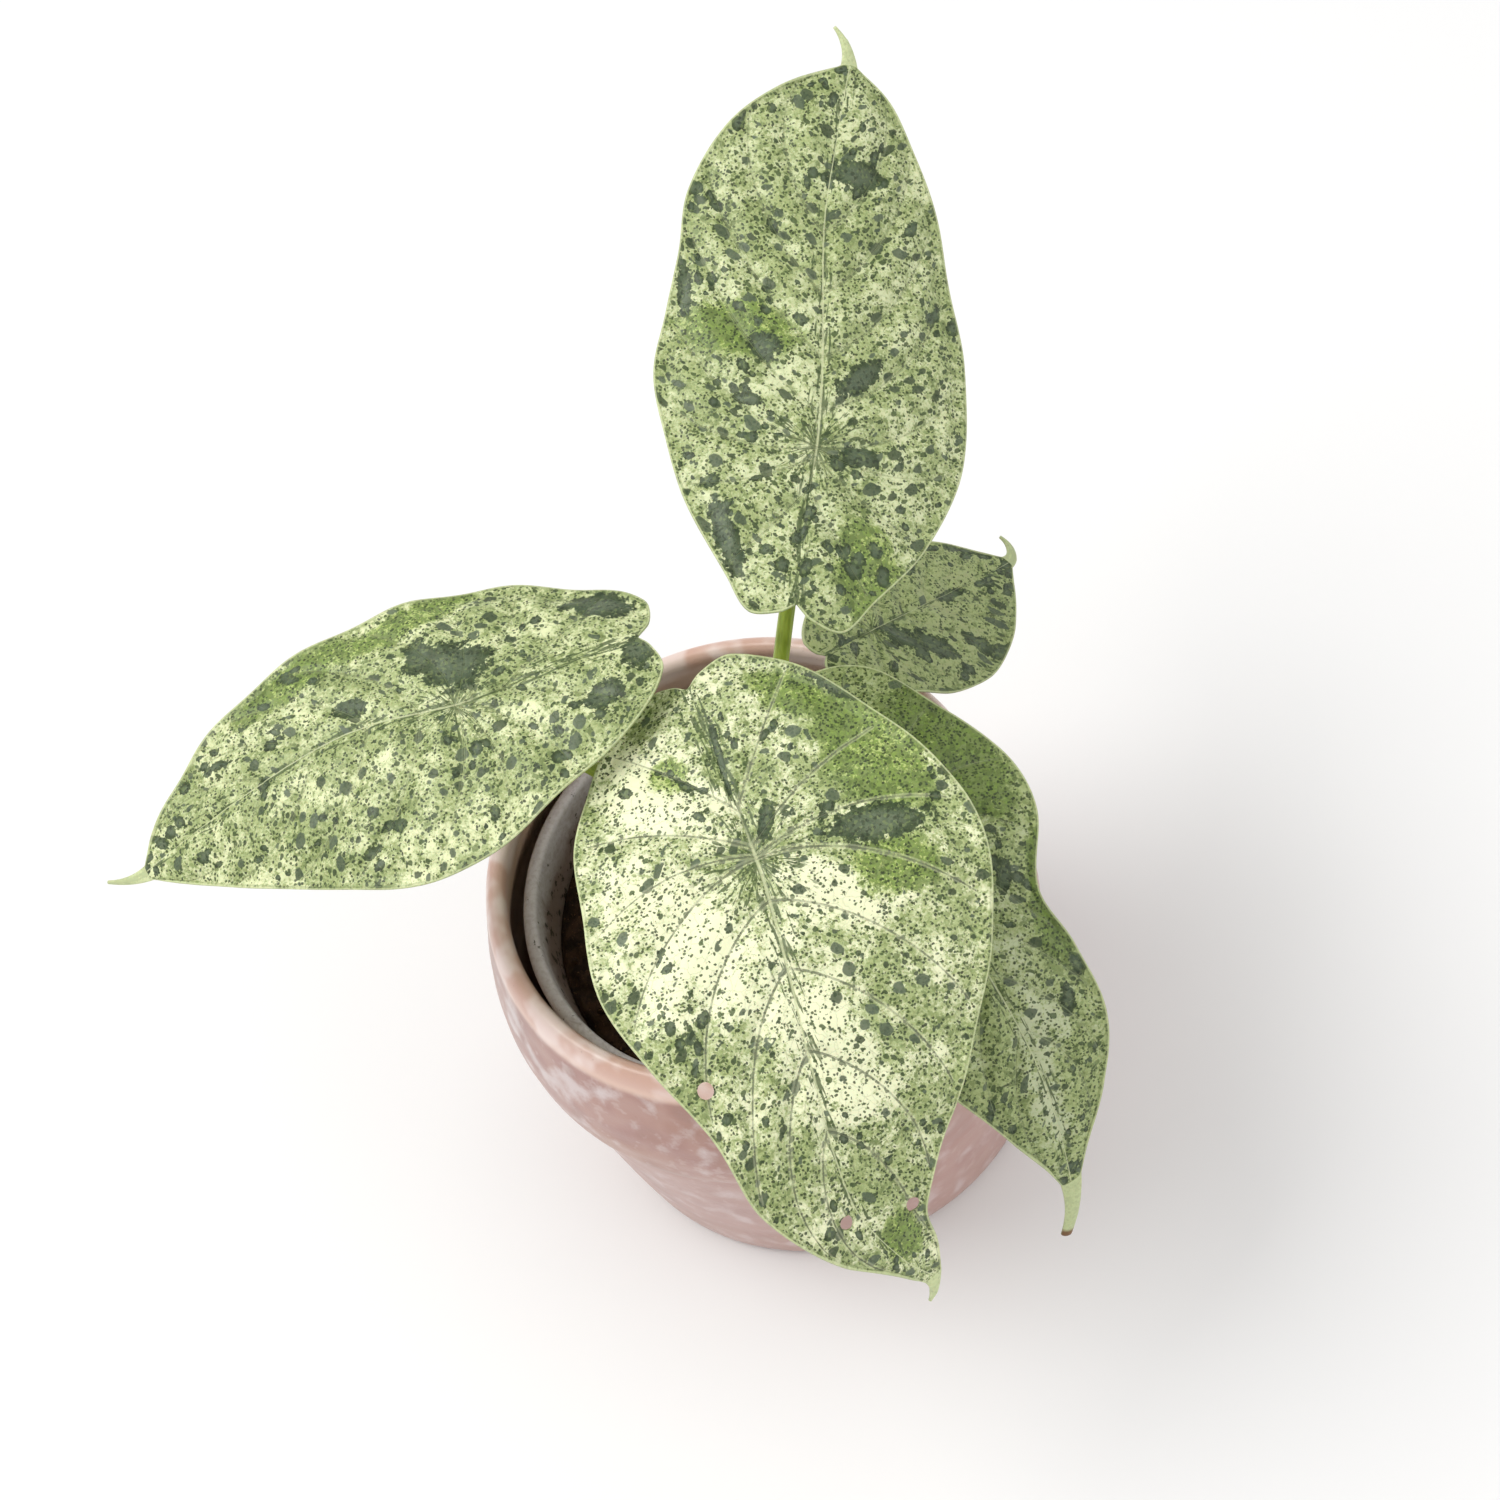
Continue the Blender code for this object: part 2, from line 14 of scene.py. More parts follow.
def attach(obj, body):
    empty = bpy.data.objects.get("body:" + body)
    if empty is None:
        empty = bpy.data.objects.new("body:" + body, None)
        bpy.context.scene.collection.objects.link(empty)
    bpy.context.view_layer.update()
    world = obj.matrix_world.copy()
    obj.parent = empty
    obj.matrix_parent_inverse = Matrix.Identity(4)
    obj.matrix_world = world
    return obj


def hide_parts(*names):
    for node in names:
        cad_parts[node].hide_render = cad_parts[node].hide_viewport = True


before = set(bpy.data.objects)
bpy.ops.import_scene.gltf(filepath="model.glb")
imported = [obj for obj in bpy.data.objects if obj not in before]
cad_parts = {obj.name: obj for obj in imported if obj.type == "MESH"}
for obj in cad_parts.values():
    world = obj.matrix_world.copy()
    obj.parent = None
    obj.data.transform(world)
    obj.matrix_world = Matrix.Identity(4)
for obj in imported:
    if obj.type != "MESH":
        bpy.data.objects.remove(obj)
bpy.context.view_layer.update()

MM = 0.001
FLOOR_Z = 0.0

# Camera
CAMERA_PLACE = (12.4, -379.6, 717.1)
CAMERA_DOWN = 56.3                      # degrees below level
CAMERA_ROLL = -22.2                     # degrees
CAMERA_LENS = 72.0                      # on a 36 mm sensor


def rgb(red, green, blue):
    """Display colour 0-255 as linear light."""
    values = np.array([red, green, blue]) / 255
    linear = np.where(values <= 0.04045, values / 12.92, ((values + 0.055) / 1.055) ** 2.4)
    return (*[float(v) for v in linear], 1.0)


# Leaves: the same named values as the solids
# Stalk seat; heading and rise of the tip; length ahead of the stalk and depth of the
# notch behind it; degrees of bend in 100 mm ahead of, behind and across the stalk;
# roll, twist, lift of each half; drift of the tip; margin waves (height, count, phase);
# drip tail (length, degrees it curls, rise, half width of its end); midrib as (ahead,
# out to the left); punched holes (ahead, out, radius); for each half its lobe's end
# and its half widths at the stations.
# Half widths are given at these stations: shares of the lobe's length
# behind the stalk, then shares of the blade's length ahead of it.
WIDTH_STATIONS = (-0.80, -0.40, 0.0, 0.16, 0.32, 0.48, 0.65, 0.82, 0.93, 1.0)
# Where the margin turns round a lobe: share of the step back from the notch to the
# lobe's end, and share of the way out to it.
LOBE_TURN = (0.80, 0.36)
LEAVES = {
    "top": dict(
        at=(51, 29, 205), heading=62, rise=10, length=90, notch=38, bend=(-15, -7, 63),
        roll=21.5, twist=9, lift=(-1, -7.5), drift=1.5, waves=(0.5, 5, 0.6), tail=(9.5, 50, 1, 0.4),
        midrib=[(-38, 0), (-20, 1), (0, 0), (22, 1), (52, 3), (75, 1), (90, -1)],
        left=dict(lobe=(41, 10), widths=(16, 27, 34, 38, 37, 35, 34, 26, 15, 1)),
        right=dict(lobe=(42, 11), widths=(17, 28.5, 35, 37.5, 35, 31, 26, 19, 12, 3))),
    "left": dict(
        at=(-44, 13.5, 188), heading=181, rise=-1, length=84, notch=43, bend=(40, 23, 40),
        roll=1, twist=-19, lift=(-1, -0.5), drift=-10, waves=(0.6, 6, 1.9), tail=(11.5, -32, 0.5, 0.5),
        midrib=[(-43, 0), (-8, 0), (0, -0.5), (25, -5.5), (57, -2.5), (84, 1.5)],
        left=dict(lobe=(45.5, 11), widths=(22, 30, 36, 37, 34, 28, 21, 13.5, 8, 4)),
        right=dict(lobe=(48, 11.5), widths=(21, 31, 35.5, 35, 33, 29, 22, 13, 6, 0))),
    "front": dict(
        at=(5, -47.5, 180), heading=270.5, rise=-7, length=104, notch=46, bend=(65, 23, 11),
        roll=-3, twist=-22, lift=(0.5, 1.5), drift=1, waves=(0.6, 7, 0.4), tail=(8.5, -36, -1, 0.4),
        midrib=[(-46, 0), (0, 0), (23, -2.5), (46.5, -6.5), (75, -10), (94.5, -5), (104, -0.5)],
        punched=[(41, -28.5, 1.75), (78, -13, 1.6), (83.5, 2, 1.7)],
        left=dict(lobe=(49.5, 12), widths=(24, 37, 46, 46.5, 41, 32, 19.5, 5, 4, 2)),
        right=dict(lobe=(49, 8.5), widths=(23, 35, 39, 41.5, 37.5, 31.5, 29, 18.5, 8, 3))),
    "right": dict(
        at=(32.5, -37, 148), heading=288.5, rise=-13.5, length=91, notch=38, bend=(61, 23, 29),
        roll=5, twist=1.5, lift=(-2, -3.5), drift=-10.5, waves=(0.5, 6, 2.6), tail=(16, -20, 0, 1.45),
        midrib=[(-38, 0), (0, 0), (55, 1), (91, -0.5)],
        left=dict(lobe=(44, 14), widths=(25.5, 30.5, 34.5, 31.5, 21, 21.5, 21, 14, 6, 2.5)),
        right=dict(lobe=(45, 14), widths=(25.5, 32, 34, 33.5, 29.5, 24, 17.5, 10.5, 5.5, 3))),
    "small": dict(
        at=(50, 28.5, 133), heading=31, rise=-32, length=51, notch=17, bend=(-11, 29, 69),
        roll=17, twist=-4, lift=(6, -3), drift=-2, waves=(0.3, 5, 1.0), tail=(9, 120, 1.5, 0.4),
        midrib=[(-17, 0), (0, 0), (51, -0.5)],
        left=dict(lobe=(19.5, 5.5), widths=(9.5, 14, 18, 21.5, 23, 22, 18, 11.5, 6, 2)),
        right=dict(lobe=(20, 6), widths=(10, 15, 19, 22.5, 24, 23.5, 19.5, 12.5, 6, 2))),
}
STALKS = {
    "top": dict(root=(8.0, 7.5), lower=56.0, upper=24.0, bow=(6.0, -6.0)),
    "left": dict(root=(-9.5, 4.0), lower=50.0, upper=34.0, bow=(2.0, 2.0)),
    "front": dict(root=(-8.0, -6.5), lower=56.0, upper=12.0, bow=(-24.0, -4.0)),
    "right": dict(root=(4.5, -9.5), lower=36.0, upper=20.0, bow=(2.0, -2.0)),
    "small": dict(root=(10.5, -1.8), lower=24.0, upper=16.0, bow=(6.0, 2.0)),
}

# The few sectors that tell one leaf from another, in whole millimetres: (kind, ahead,
# out to the left, long and short half axis, turn from the midrib in degrees). dark =
# grey-green, fresh = bright green, pale = cream.
SECTORS = {
    "top": [("dark", -24, 17, 13, 3, 25), ("fresh", -27, -15, 11, 7, 15), ("dark", 18, -8, 8, 3, -45),
            ("dark", 22, 14, 4, 4, 0), ("dark", 65, -4, 4, 8, 0), ("dark", 34, 33, 8, 2, 8),
            ("dark", 0, -10, 3, 5, 0), ("fresh", 26, 20, 6, 12, 0)],
    "left": [("dark", -3, -11, 10, 8, -28), ("dark", 4, -17, 6, 4, 76), ("dark", -38, -14, 10, 5, -33),
             ("dark", -31, 13, 6, 4, 20), ("fresh", 6, -29, 15, 4, 10), ("fresh", 32, -26, 15, 4, 16),
             ("dark", -42, 4, 6, 4, 60), ("dark", 22, -11, 5, 3, -30)],
    "front": [("fresh", -14, 32, 14, 9, 15), ("fresh", 12, 27, 8, 6, 70), ("dark", 2, 27, 12, 5, 76),
              ("fresh", -33, 21, 10, 4, 43), ("dark", -26, 1, 13, 1, -6), ("fresh", -27, -11, 4, 4, 0),
              ("dark", -31, 31, 8, 3, 42), ("fresh", 89, -3, 6, 4, -5), ("dark", -8, 5, 6, 2, -30),
              ("pale", 10, -22, 22, 13, 20), ("pale", -22, -14, 14, 9, 30), ("pale", 36, -2, 18, 9, 0),
              ("pale", 14, 14, 12, 7, 60)],
    "right": [("dark", 22, 16, 5, 2, -39), ("dark", 52, 14, 4, 2, -27), ("dark", 47, 20, 3, 2, 0),
              ("fresh", -8, 24, 17, 9, 0), ("fresh", 30, 25, 14, 6, -30), ("pale", 46, 6, 15, 6, -10),
              ("pale", 72, 0, 12, 4, -9)],
    "small": [("dark", 6, -5, 7, 3, -50), ("dark", 13, -11, 8, 3, -52), ("dark", 25, -15, 5, 3, -60),
              ("dark", 28, -1, 5, 2, 0), ("dark", 30, -20, 5, 3, -30)],
}
# Larger blotches drawn at random in heaps: seed, heaps, how far the blotches scatter,
# and their least and greatest half length.
HEAP_MOST = 4
BLOTCHES = {
    "top": dict(seed=5, heaps=40, scatter=3.2, least=0.9, greatest=2.6),
    "left": dict(seed=8, heaps=30, scatter=2.8, least=0.9, greatest=2.4),
    "front": dict(seed=3, heaps=24, scatter=2.6, least=0.7, greatest=2.0),
    "right": dict(seed=6, heaps=26, scatter=2.6, least=0.8, greatest=2.0),
    "small": dict(seed=4, heaps=20, scatter=2.6, least=0.8, greatest=2.4),
}
# Look of each leaf: its ground and the tone of its veins (where dark, partly painted shade in
# their creases), share of green, of spots and of dark specks, strength of the green and of
# the veins, how far spots draw out along the veins, and how much painted shade darkens the whole blade.
TONES = {
    "top": dict(ground=rgb(222, 229, 182), vein_tone=rgb(112, 124, 84), cover=0.76, spots=0.52, speck=0.95,
                lift=0.80, veins=0.35, drawn=0.62, painted_shade=0.06),
    "left": dict(ground=rgb(232, 238, 188), vein_tone=rgb(116, 130, 80), cover=0.76, spots=0.44, speck=0.95,
                 lift=0.80, veins=0.30, drawn=0.72, painted_shade=0.05),
    "front": dict(ground=rgb(240, 243, 202), vein_tone=rgb(98, 106, 80), cover=0.75, spots=0.29, speck=1.1,
                  lift=0.80, veins=0.80, drawn=0.72, painted_shade=0.0),
    "right": dict(ground=rgb(198, 206, 166), vein_tone=rgb(176, 188, 140), cover=1.02, spots=0.42, speck=1.2,
                  lift=0.85, veins=0.30, drawn=0.60, painted_shade=0.08),
    "small": dict(ground=rgb(172, 180, 130), vein_tone=rgb(160, 172, 118), cover=0.94, spots=0.42, speck=0.8,
                  lift=0.80, veins=0.20, drawn=0.38, painted_shade=0.16),
}

BLADE_THICKNESS = 0.80
MARGIN_THICKNESS = 0.50
LEAF_ROWS = 250
LEAF_CELLS = 52                # cells from the midrib to each margin
TAIL_ROWS = 34
SHIELD_SHARE = 0.40            # share of the margin that lies behind the stalk
VEIN_STARTS = (0.12, 0.22, 0.31, 0.395, 0.49, 0.59, 0.69, 0.78)
MARGIN_VEIN = 0.925            # share of the half width where the side veins join
VEIN_LEAN = math.radians(52)   # lean of the spots away from the midrib
HALVES_APART = 437.0           # shifts the spots of one half against the other's
# Attributes are kept as shares of these: a vein's number, and millimetres between
# veins and in from the margin.
COURSE_MOST, GAP_MOST, RIM_MOST = 16, 20, 4

SOIL_LEVEL = 82.0
SEAT_DEPTH = 1.25              # a stalk ends this far under the middle of its blade
FLOW_TURN = 2.0                # millimetres on the stalks' map for one radian


# Curves and outlines
def smooth_curve(points, shares):
    """Cubic through the points (slope at each point from its neighbours), read at the
    given shares of the chord length."""
    points = np.asarray(points, float)
    reach = np.concatenate([[0.0], np.cumsum(np.linalg.norm(np.diff(points, axis=0), axis=1))])
    slope = np.empty_like(points)
    slope[1:-1] = (points[2:] - points[:-2]) / (reach[2:] - reach[:-2])[:, None]
    slope[0] = (points[1] - points[0]) / (reach[1] - reach[0])
    slope[-1] = (points[-1] - points[-2]) / (reach[-1] - reach[-2])
    where = np.asarray(shares) * reach[-1]
    k = np.clip(np.searchsorted(reach, where, side="right") - 1, 0, len(reach) - 2)
    span = (reach[k + 1] - reach[k])[..., None]
    q = (where - reach[k])[..., None] / span
    return ((2 * q**3 - 3 * q**2 + 1) * points[k] + (q**3 - 2 * q**2 + q) * span * slope[k]
            + (3 * q**2 - 2 * q**3) * points[k + 1] + (q**3 - q**2) * span * slope[k + 1])


def lattice_noise(x, y, cell, seed):
    """Smooth noise -1..1: random values on a square lattice, blended by 3q^2 - 2q^3."""
    table = np.random.default_rng(seed).uniform(-1, 1, (64, 64))
    u, v = x / cell, y / cell
    i, j = np.floor(u).astype(int), np.floor(v).astype(int)
    p, q = u - i, v - j
    p, q = p * p * (3 - 2 * p), q * q * (3 - 2 * q)
    i, j, i1, j1 = i % 64, j % 64, (i + 1) % 64, (j + 1) % 64
    return ((table[i, j] * (1 - p) + table[i1, j] * p) * (1 - q)
            + (table[i, j1] * (1 - p) + table[i1, j1] * p) * q)


def held(value):
    """Value kept between 0 and 1."""
    return np.clip(value, 0, 1)


def unit(vectors):
    """The same directions, one long."""
    return vectors / np.maximum(np.linalg.norm(vectors, axis=-1, keepdims=True), 1e-12)


def arc(start, turn, run):
    """End of a path whose angle grows from start by turn a millimetre."""
    turn = turn if abs(turn) > 1e-6 else 1e-6
    return ((np.sin(start + turn * run) - math.sin(start)) / turn,
            (math.cos(start) - np.cos(start + turn * run)) / turn)


def bent(ahead, out, lift, leaf):
    """Flat leaf point (ahead of the stalk, out to the left, lift above) on the bent
    blade: an arc along the midrib, an arc across it, rolled, then turned to heading."""
    ahead, out = np.asarray(ahead, float), np.asarray(out, float)
    rise = math.radians(leaf["rise"])
    front, back = np.maximum(ahead, 0), np.minimum(ahead, 0)
    bend_front, bend_back, turn = np.radians(leaf["bend"]) / 100
    x1, z1 = arc(rise, -bend_front, front)
    x2, z2 = arc(rise, -bend_back, back)
    pitch = rise - bend_front * front - bend_back * back
    left_share = 0.5 + 0.5 * np.tanh(out / 4.0)
    lift_left, lift_right = leaf["lift"]
    dihedral = np.radians(lift_right + (lift_left - lift_right) * left_share)
    width = np.abs(out)
    across = np.sign(out) * (np.sin(dihedral - turn * width) - np.sin(dihedral)) / -turn
    above = (np.cos(dihedral) - np.cos(dihedral - turn * width)) / -turn + lift
    across = across - np.sign(out) * np.sin(dihedral - turn * width) * lift
    roll = np.radians(leaf["roll"] + leaf["twist"] * ahead / leaf["length"])
    side = across + leaf["drift"] * (front / leaf["length"]) ** 2
    y = side * np.cos(roll) - above * np.sin(roll)
    n = side * np.sin(roll) + above * np.cos(roll)
    x = x1 + x2 - np.sin(pitch) * n
    z = z1 + z2 + np.cos(pitch) * n
    c, s = math.cos(math.radians(leaf["heading"])), math.sin(math.radians(leaf["heading"]))
    ox, oy, oz = leaf["at"]
    return np.stack([ox + c * x - s * y, oy + s * x + c * y, oz + z], axis=-1)


def margin(leaf, side):
    """Outline of one half, from the notch round the lobe's end to the tail's root:
    points as (ahead of the stalk, out from the midrib)."""
    length, out = leaf[side]["lobe"]
    back, aside = LOBE_TURN
    points = [(-leaf["notch"], 0.0),
              (-leaf["notch"] - back * (length - leaf["notch"]), aside * out), (-length, out)]
    for share, width in zip(WIDTH_STATIONS, leaf[side]["widths"]):
        points.append((share * (length if share < 0 else leaf["length"]), width))
    return points


def spine(t, leaf):
    """Midrib station for share t of the margin: from the notch it hurries to the stalk,
    so that the lobes' rows fan out from it, then runs on to the tip."""
    notch = -leaf["notch"]
    shield = held(t / SHIELD_SHARE)
    blade = held((t - SHIELD_SHARE) / (1 - SHIELD_SHARE))
    return notch * (0.94 * (1 - shield) ** 4 + 0.06 * (1 - shield)) + leaf["length"] * blade**1.25


def stray(ahead, leaf):
    """How far the midrib strays to the left at a station: a cubic through its points."""
    line = smooth_curve(leaf["midrib"], np.linspace(0, 1, 200))
    return np.interp(ahead, line[:, 0], line[:, 1])


def flat_point(t, part, left, leaf):
    """Flat leaf point at share t of the margin and part of the way out to it."""
    edge = smooth_curve(margin(leaf, "left" if left else "right"), t)
    middle = spine(t, leaf)
    aside = stray(middle, leaf)
    out = edge[..., 1] * (1 if left else -1)
    return middle + part * (edge[..., 0] - middle), aside + part * (out - aside)


def forward_sweep(t, part):
    """How far along the margin a side vein has swept towards the tip, part of the way
    out: 0.18 part^1.5 ahead of the stalk, falling to 0.02 at the notch."""
    return (0.02 + 0.16 * held((t - 0.14) / 0.34)) * part**1.5


def vein_course(t, part, ahead, out):
    """Side veins as a field on the grid: the number of the vein (whole on a vein) and
    the millimetres from one vein to the next, from the field's slope."""
    start = t
    for _ in range(8):
        start = t - forward_sweep(start, part)
    number = np.interp(start, VEIN_STARTS, np.arange(len(VEIN_STARTS)))
    number = number + np.clip((start - VEIN_STARTS[-1]) / 0.1, 0, 0.4)
    number = number - np.clip((VEIN_STARTS[0] - start) / 0.1, 0, 0.4)
    (a_t, a_p), (o_t, o_p), (n_t, n_p) = (np.gradient(field) for field in (ahead, out, number))
    area = a_t * o_p - a_p * o_t
    area = np.where(np.abs(area) < 1e-6, 1e-6, area)
    slope = np.hypot(n_t * o_p - n_p * o_t, n_p * a_t - n_t * a_p) / np.abs(area)
    return number, np.clip(1 / np.maximum(slope, 1e-3), 0, GAP_MOST)


def vein_lines(leaf):
    """Side veins as (points, strength, side): each leaves the midrib at its start share
    t and sweeps forward, out to the scalloped margin vein."""
    part = np.linspace(0, MARGIN_VEIN, 26)
    lines = []
    for side in (True, False):
        for start in VEIN_STARTS:
            t = np.clip(start + forward_sweep(start, part), 0, 0.995)
            ahead, out = flat_point(t, part, side, leaf)
            strong = 1.0 if start < 0.5 else 0.85 - 0.5 * (start - 0.5)
            lines.append((np.stack([ahead, out], -1), strong, side))
        t = np.linspace(0.03, 0.985, 90)
        scallop = MARGIN_VEIN + 0.010 * np.cos(2 * math.pi * t * 11)
        ahead, out = flat_point(t, scallop, side, leaf)
        lines.append((np.stack([ahead, out], -1), 0.55, side))
    return lines


def distance_to(points, line):
    """Distance from every point to a polyline and the share of its length there."""
    best = np.full(len(points), 1e9)
    where = np.zeros(len(points))
    steps = len(line) - 1
    for k in range(steps):
        a, b = line[k], line[k + 1]
        run = b - a
        q = held((points - a) @ run / max(run @ run, 1e-9))
        d = np.linalg.norm(points - a - q[:, None] * run, axis=1)
        near = d < best
        best[near] = d[near]
        where[near] = (k + q[near]) / steps
    return best, where


# Meshes and materials
def placed(name, data):
    """New object at the origin, linked to the scene."""
    thing = bpy.data.objects.new(name, data)
    bpy.context.scene.collection.objects.link(thing)
    return thing


def ring(radius, angle, height):
    """Points at a radius and an angle about Z, at a height."""
    return np.stack([radius * np.cos(angle), radius * np.sin(angle), height + 0 * angle], -1)


def round_angles(sides):
    """Even angles once round, the last one short of the first."""
    return np.linspace(0, 2 * math.pi, sides, endpoint=False)


def new_piece(name, points, faces, finish, replaces=()):
    """Smooth piece at the origin from points in millimetres, with its finish, in place of
    the solids it replaces."""
    mesh = bpy.data.meshes.new(name)
    mesh.from_pydata(np.asarray(points) * MM, [], faces)
    mesh.update()
    mesh.shade_smooth()
    piece = placed(name, mesh)
    mesh.materials.append(finish)
    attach(piece, "root")
    if replaces:
        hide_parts(*replaces)
    return piece


def grid_faces(rows, columns, wrap=False):
    """Quads of a grid of rows x columns points, numbered row by row."""
    i, j = np.meshgrid(np.arange(rows - 1), np.arange(columns if wrap else columns - 1), indexing="ij")
    k = (j + 1) % columns
    quads = np.stack([i * columns + j, i * columns + k, (i + 1) * columns + k, (i + 1) * columns + j], -1)
    return quads.reshape(-1, 4)


def tube_faces(rows, sides, inside_out=False):
    """Quads of a grid closed round, and a fan at either end to the two poles that
    follow the grid's points."""
    k = np.arange(sides)
    last = (rows - 1) * sides
    foot = np.stack([np.full(sides, rows * sides), (k + 1) % sides, k], -1)
    top = np.stack([np.full(sides, rows * sides + 1), last + k, last + (k + 1) % sides], -1)
    faces = grid_faces(rows, sides, wrap=True).tolist() + foot.tolist() + top.tolist()
    return [face[::-1] for face in faces] if inside_out else faces


def turned(name, profile, sides, finish, replaces, ripple=None):
    """Profile of (radius, height), outside first from the foot's centre, turned about Z:
    x = r cos a, y = r sin a. Its ends are poles on the axis. ripple changes r."""
    profile = np.asarray(profile, float)
    inner = profile[1:-1]
    angle = round_angles(sides)
    radius = np.repeat(inner[:, :1], sides, axis=1)
    height = np.repeat(inner[:, 1:], sides, axis=1)
    if ripple is not None:
        radius = radius + ripple(angle[None, :], height)
    points = ring(radius, angle, height).reshape(-1, 3)
    points = np.concatenate([points, [[0, 0, profile[0, 1]], [0, 0, profile[-1, 1]]]])
    return new_piece(name, points, tube_faces(len(inner), sides), finish, replaces)


def corners(mesh):
    """For every corner of every face: the number of its point, and of its face."""
    point = np.empty(len(mesh.loops), dtype=np.int64)
    mesh.loops.foreach_get("vertex_index", point)
    sizes = np.empty(len(mesh.polygons), dtype=np.int64)
    mesh.polygons.foreach_get("loop_total", sizes)
    return point, np.repeat(np.arange(len(sizes)), sizes)


def lay_map(mesh, name, places):
    """UV map from one place in millimetres for each corner."""
    layer = mesh.uv_layers.new(name=name)
    layer.data.foreach_set("uv", (places * MM).astype(np.float32).ravel())


def mark(mesh, name, values):
    """Attribute with one number, or four of them, for each point."""
    kind, field = ("FLOAT", "value") if values.ndim == 1 else ("FLOAT_COLOR", "color")
    attribute = mesh.attributes.new(name, kind, "POINT")
    attribute.data.foreach_set(field, values.astype(np.float32).ravel())


class Finish:
    """A procedural material: a Principled shader and short calls for its nodes."""

    def __init__(self, name, roughness, **sockets):
        self.material = bpy.data.materials.new(name)
        self.material.use_nodes = True
        self.tree = self.material.node_tree
        self.shader = self.tree.nodes["Principled BSDF"]
        for key, value in dict(sockets, Roughness=roughness).items():
            self.shader.inputs[key.replace("_", " ")].default_value = value
        self.place = self.node("TexCoord").outputs["Object"]

    def feed(self, socket, value):
        if hasattr(value, "is_output"):
            self.tree.links.new(value, socket)
        else:
            socket.default_value = value

    def node(self, kind, *values, **named):
        """New node. Names in small letters are its settings. Then the values feed its
        first sockets, and names with a capital letter feed the sockets they name."""
        node = self.tree.nodes.new("ShaderNode" + kind)
        sockets = dict(enumerate(values))
        for key, value in named.items():
            if key.islower():
                setattr(node, key, value)
            else:
                sockets[key] = value
        for key, value in sockets.items():
            self.feed(node.inputs[key], value)
        return node

    def noise(self, scale, detail=2.0, rough=0.5, where=None, distort=0.0):
        return self.node("TexNoise", Vector=where or self.place, Scale=scale, Detail=detail,
                         Roughness=rough, Distortion=distort).outputs[0]

    def cells(self, scale, where=None, feature="F1", plane=False):
        return self.node("TexVoronoi", feature=feature, voronoi_dimensions="2D" if plane else "3D",
                         Vector=where or self.place, Scale=scale)

    def sum(self, *terms):
        """Sum of (value, factor) pairs and plain numbers."""
        total = 0.0
        for term in terms:
            value, factor = term if isinstance(term, tuple) else (term, 1.0)
            total = self.node("Math", value, factor, total, operation="MULTIPLY_ADD").outputs[0]
        return total

    def times(self, a, b, operation="MULTIPLY"):
        return self.node("Math", a, b, operation=operation).outputs[0]

    def off_whole(self, value):
        """Distance of a value to the nearest whole number."""
        left = self.times(self.sum(value, 0.5), 0.0, "FRACT")
        return self.times(self.sum(left, -0.5), 0.0, "ABSOLUTE")

    def step(self, value, low, high):
        """0 below low, 1 above high, smooth between; low above high turns it round."""
        return self.node("MapRange", value, low, high, interpolation_type="SMOOTHSTEP").outputs[0]

    def mix(self, share, a, b):
        node = self.node("Mix", share, data_type="RGBA")
        self.feed(node.inputs[6], a)
        self.feed(node.inputs[7], b)
        return node.outputs[2]

    def lay(self, base, tone, share, strength):
        """A tone over the base by share x strength."""
        return self.mix(self.times(share, strength), base, tone)

    def uv(self, name):
        return self.node("UVMap", uv_map=name).outputs["UV"]

    def scaled(self, where, along, across):
        return self.node("Mapping", Vector=where, Scale=(along, across, 1.0)).outputs["Vector"]

    def polar(self, where, turns, reach):
        """Places as (angle round the map's origin, distance from it), each scaled."""
        x, y = self.parts(where, "XYZ")[:2]
        far = self.node("VectorMath", where, operation="LENGTH").outputs["Value"]
        angle = self.times(y, x, "ARCTAN2")
        return self.node("CombineXYZ", self.times(angle, turns), self.times(far, reach)).outputs[0]

    def shake(self, where, scale, reach):
        """Places moved about by noise, up to half the reach each way."""
        move = self.node("TexNoise", Vector=where, Scale=scale, Detail=1.0).outputs["Color"]
        return self.node("VectorMath", move, (reach,) * 3, where, operation="MULTIPLY_ADD").outputs[0]

    def parts(self, value, kind="Color"):
        """Red, green and blue of a colour, or the three of a place for XYZ."""
        return self.node("Separate" + kind, value).outputs

    def marked(self, name):
        return self.node("Attribute", attribute_name=name).outputs

    def colour(self, value):
        self.feed(self.shader.inputs["Base Color"], value)

    def bump(self, height, distance, strength=1.0):
        node = self.node("Bump", Strength=strength, Distance=distance, Height=height)
        self.feed(self.shader.inputs["Normal"], node.outputs[0])


# Leaves
PALE_GREEN = rgb(172, 185, 126)
SOFT_GREEN = rgb(132, 148, 88)
MOSS_GREEN = rgb(76, 94, 44)
BLOTCH_GREEN = rgb(48, 64, 34)
SLATE_GREEN = rgb(66, 83, 56)
SLATE_HEART = rgb(90, 104, 82)
DEEP_GREEN = rgb(30, 42, 22)
FRESH_GREEN = rgb(118, 146, 60)
BRIGHT_GREEN = rgb(182, 200, 112)
MARGIN_PALE = rgb(206, 216, 164)
MIDRIB_PALE = rgb(208, 214, 168)
UNDERSIDE = rgb(164, 178, 126)
CUT_BROWN = rgb(122, 88, 52)


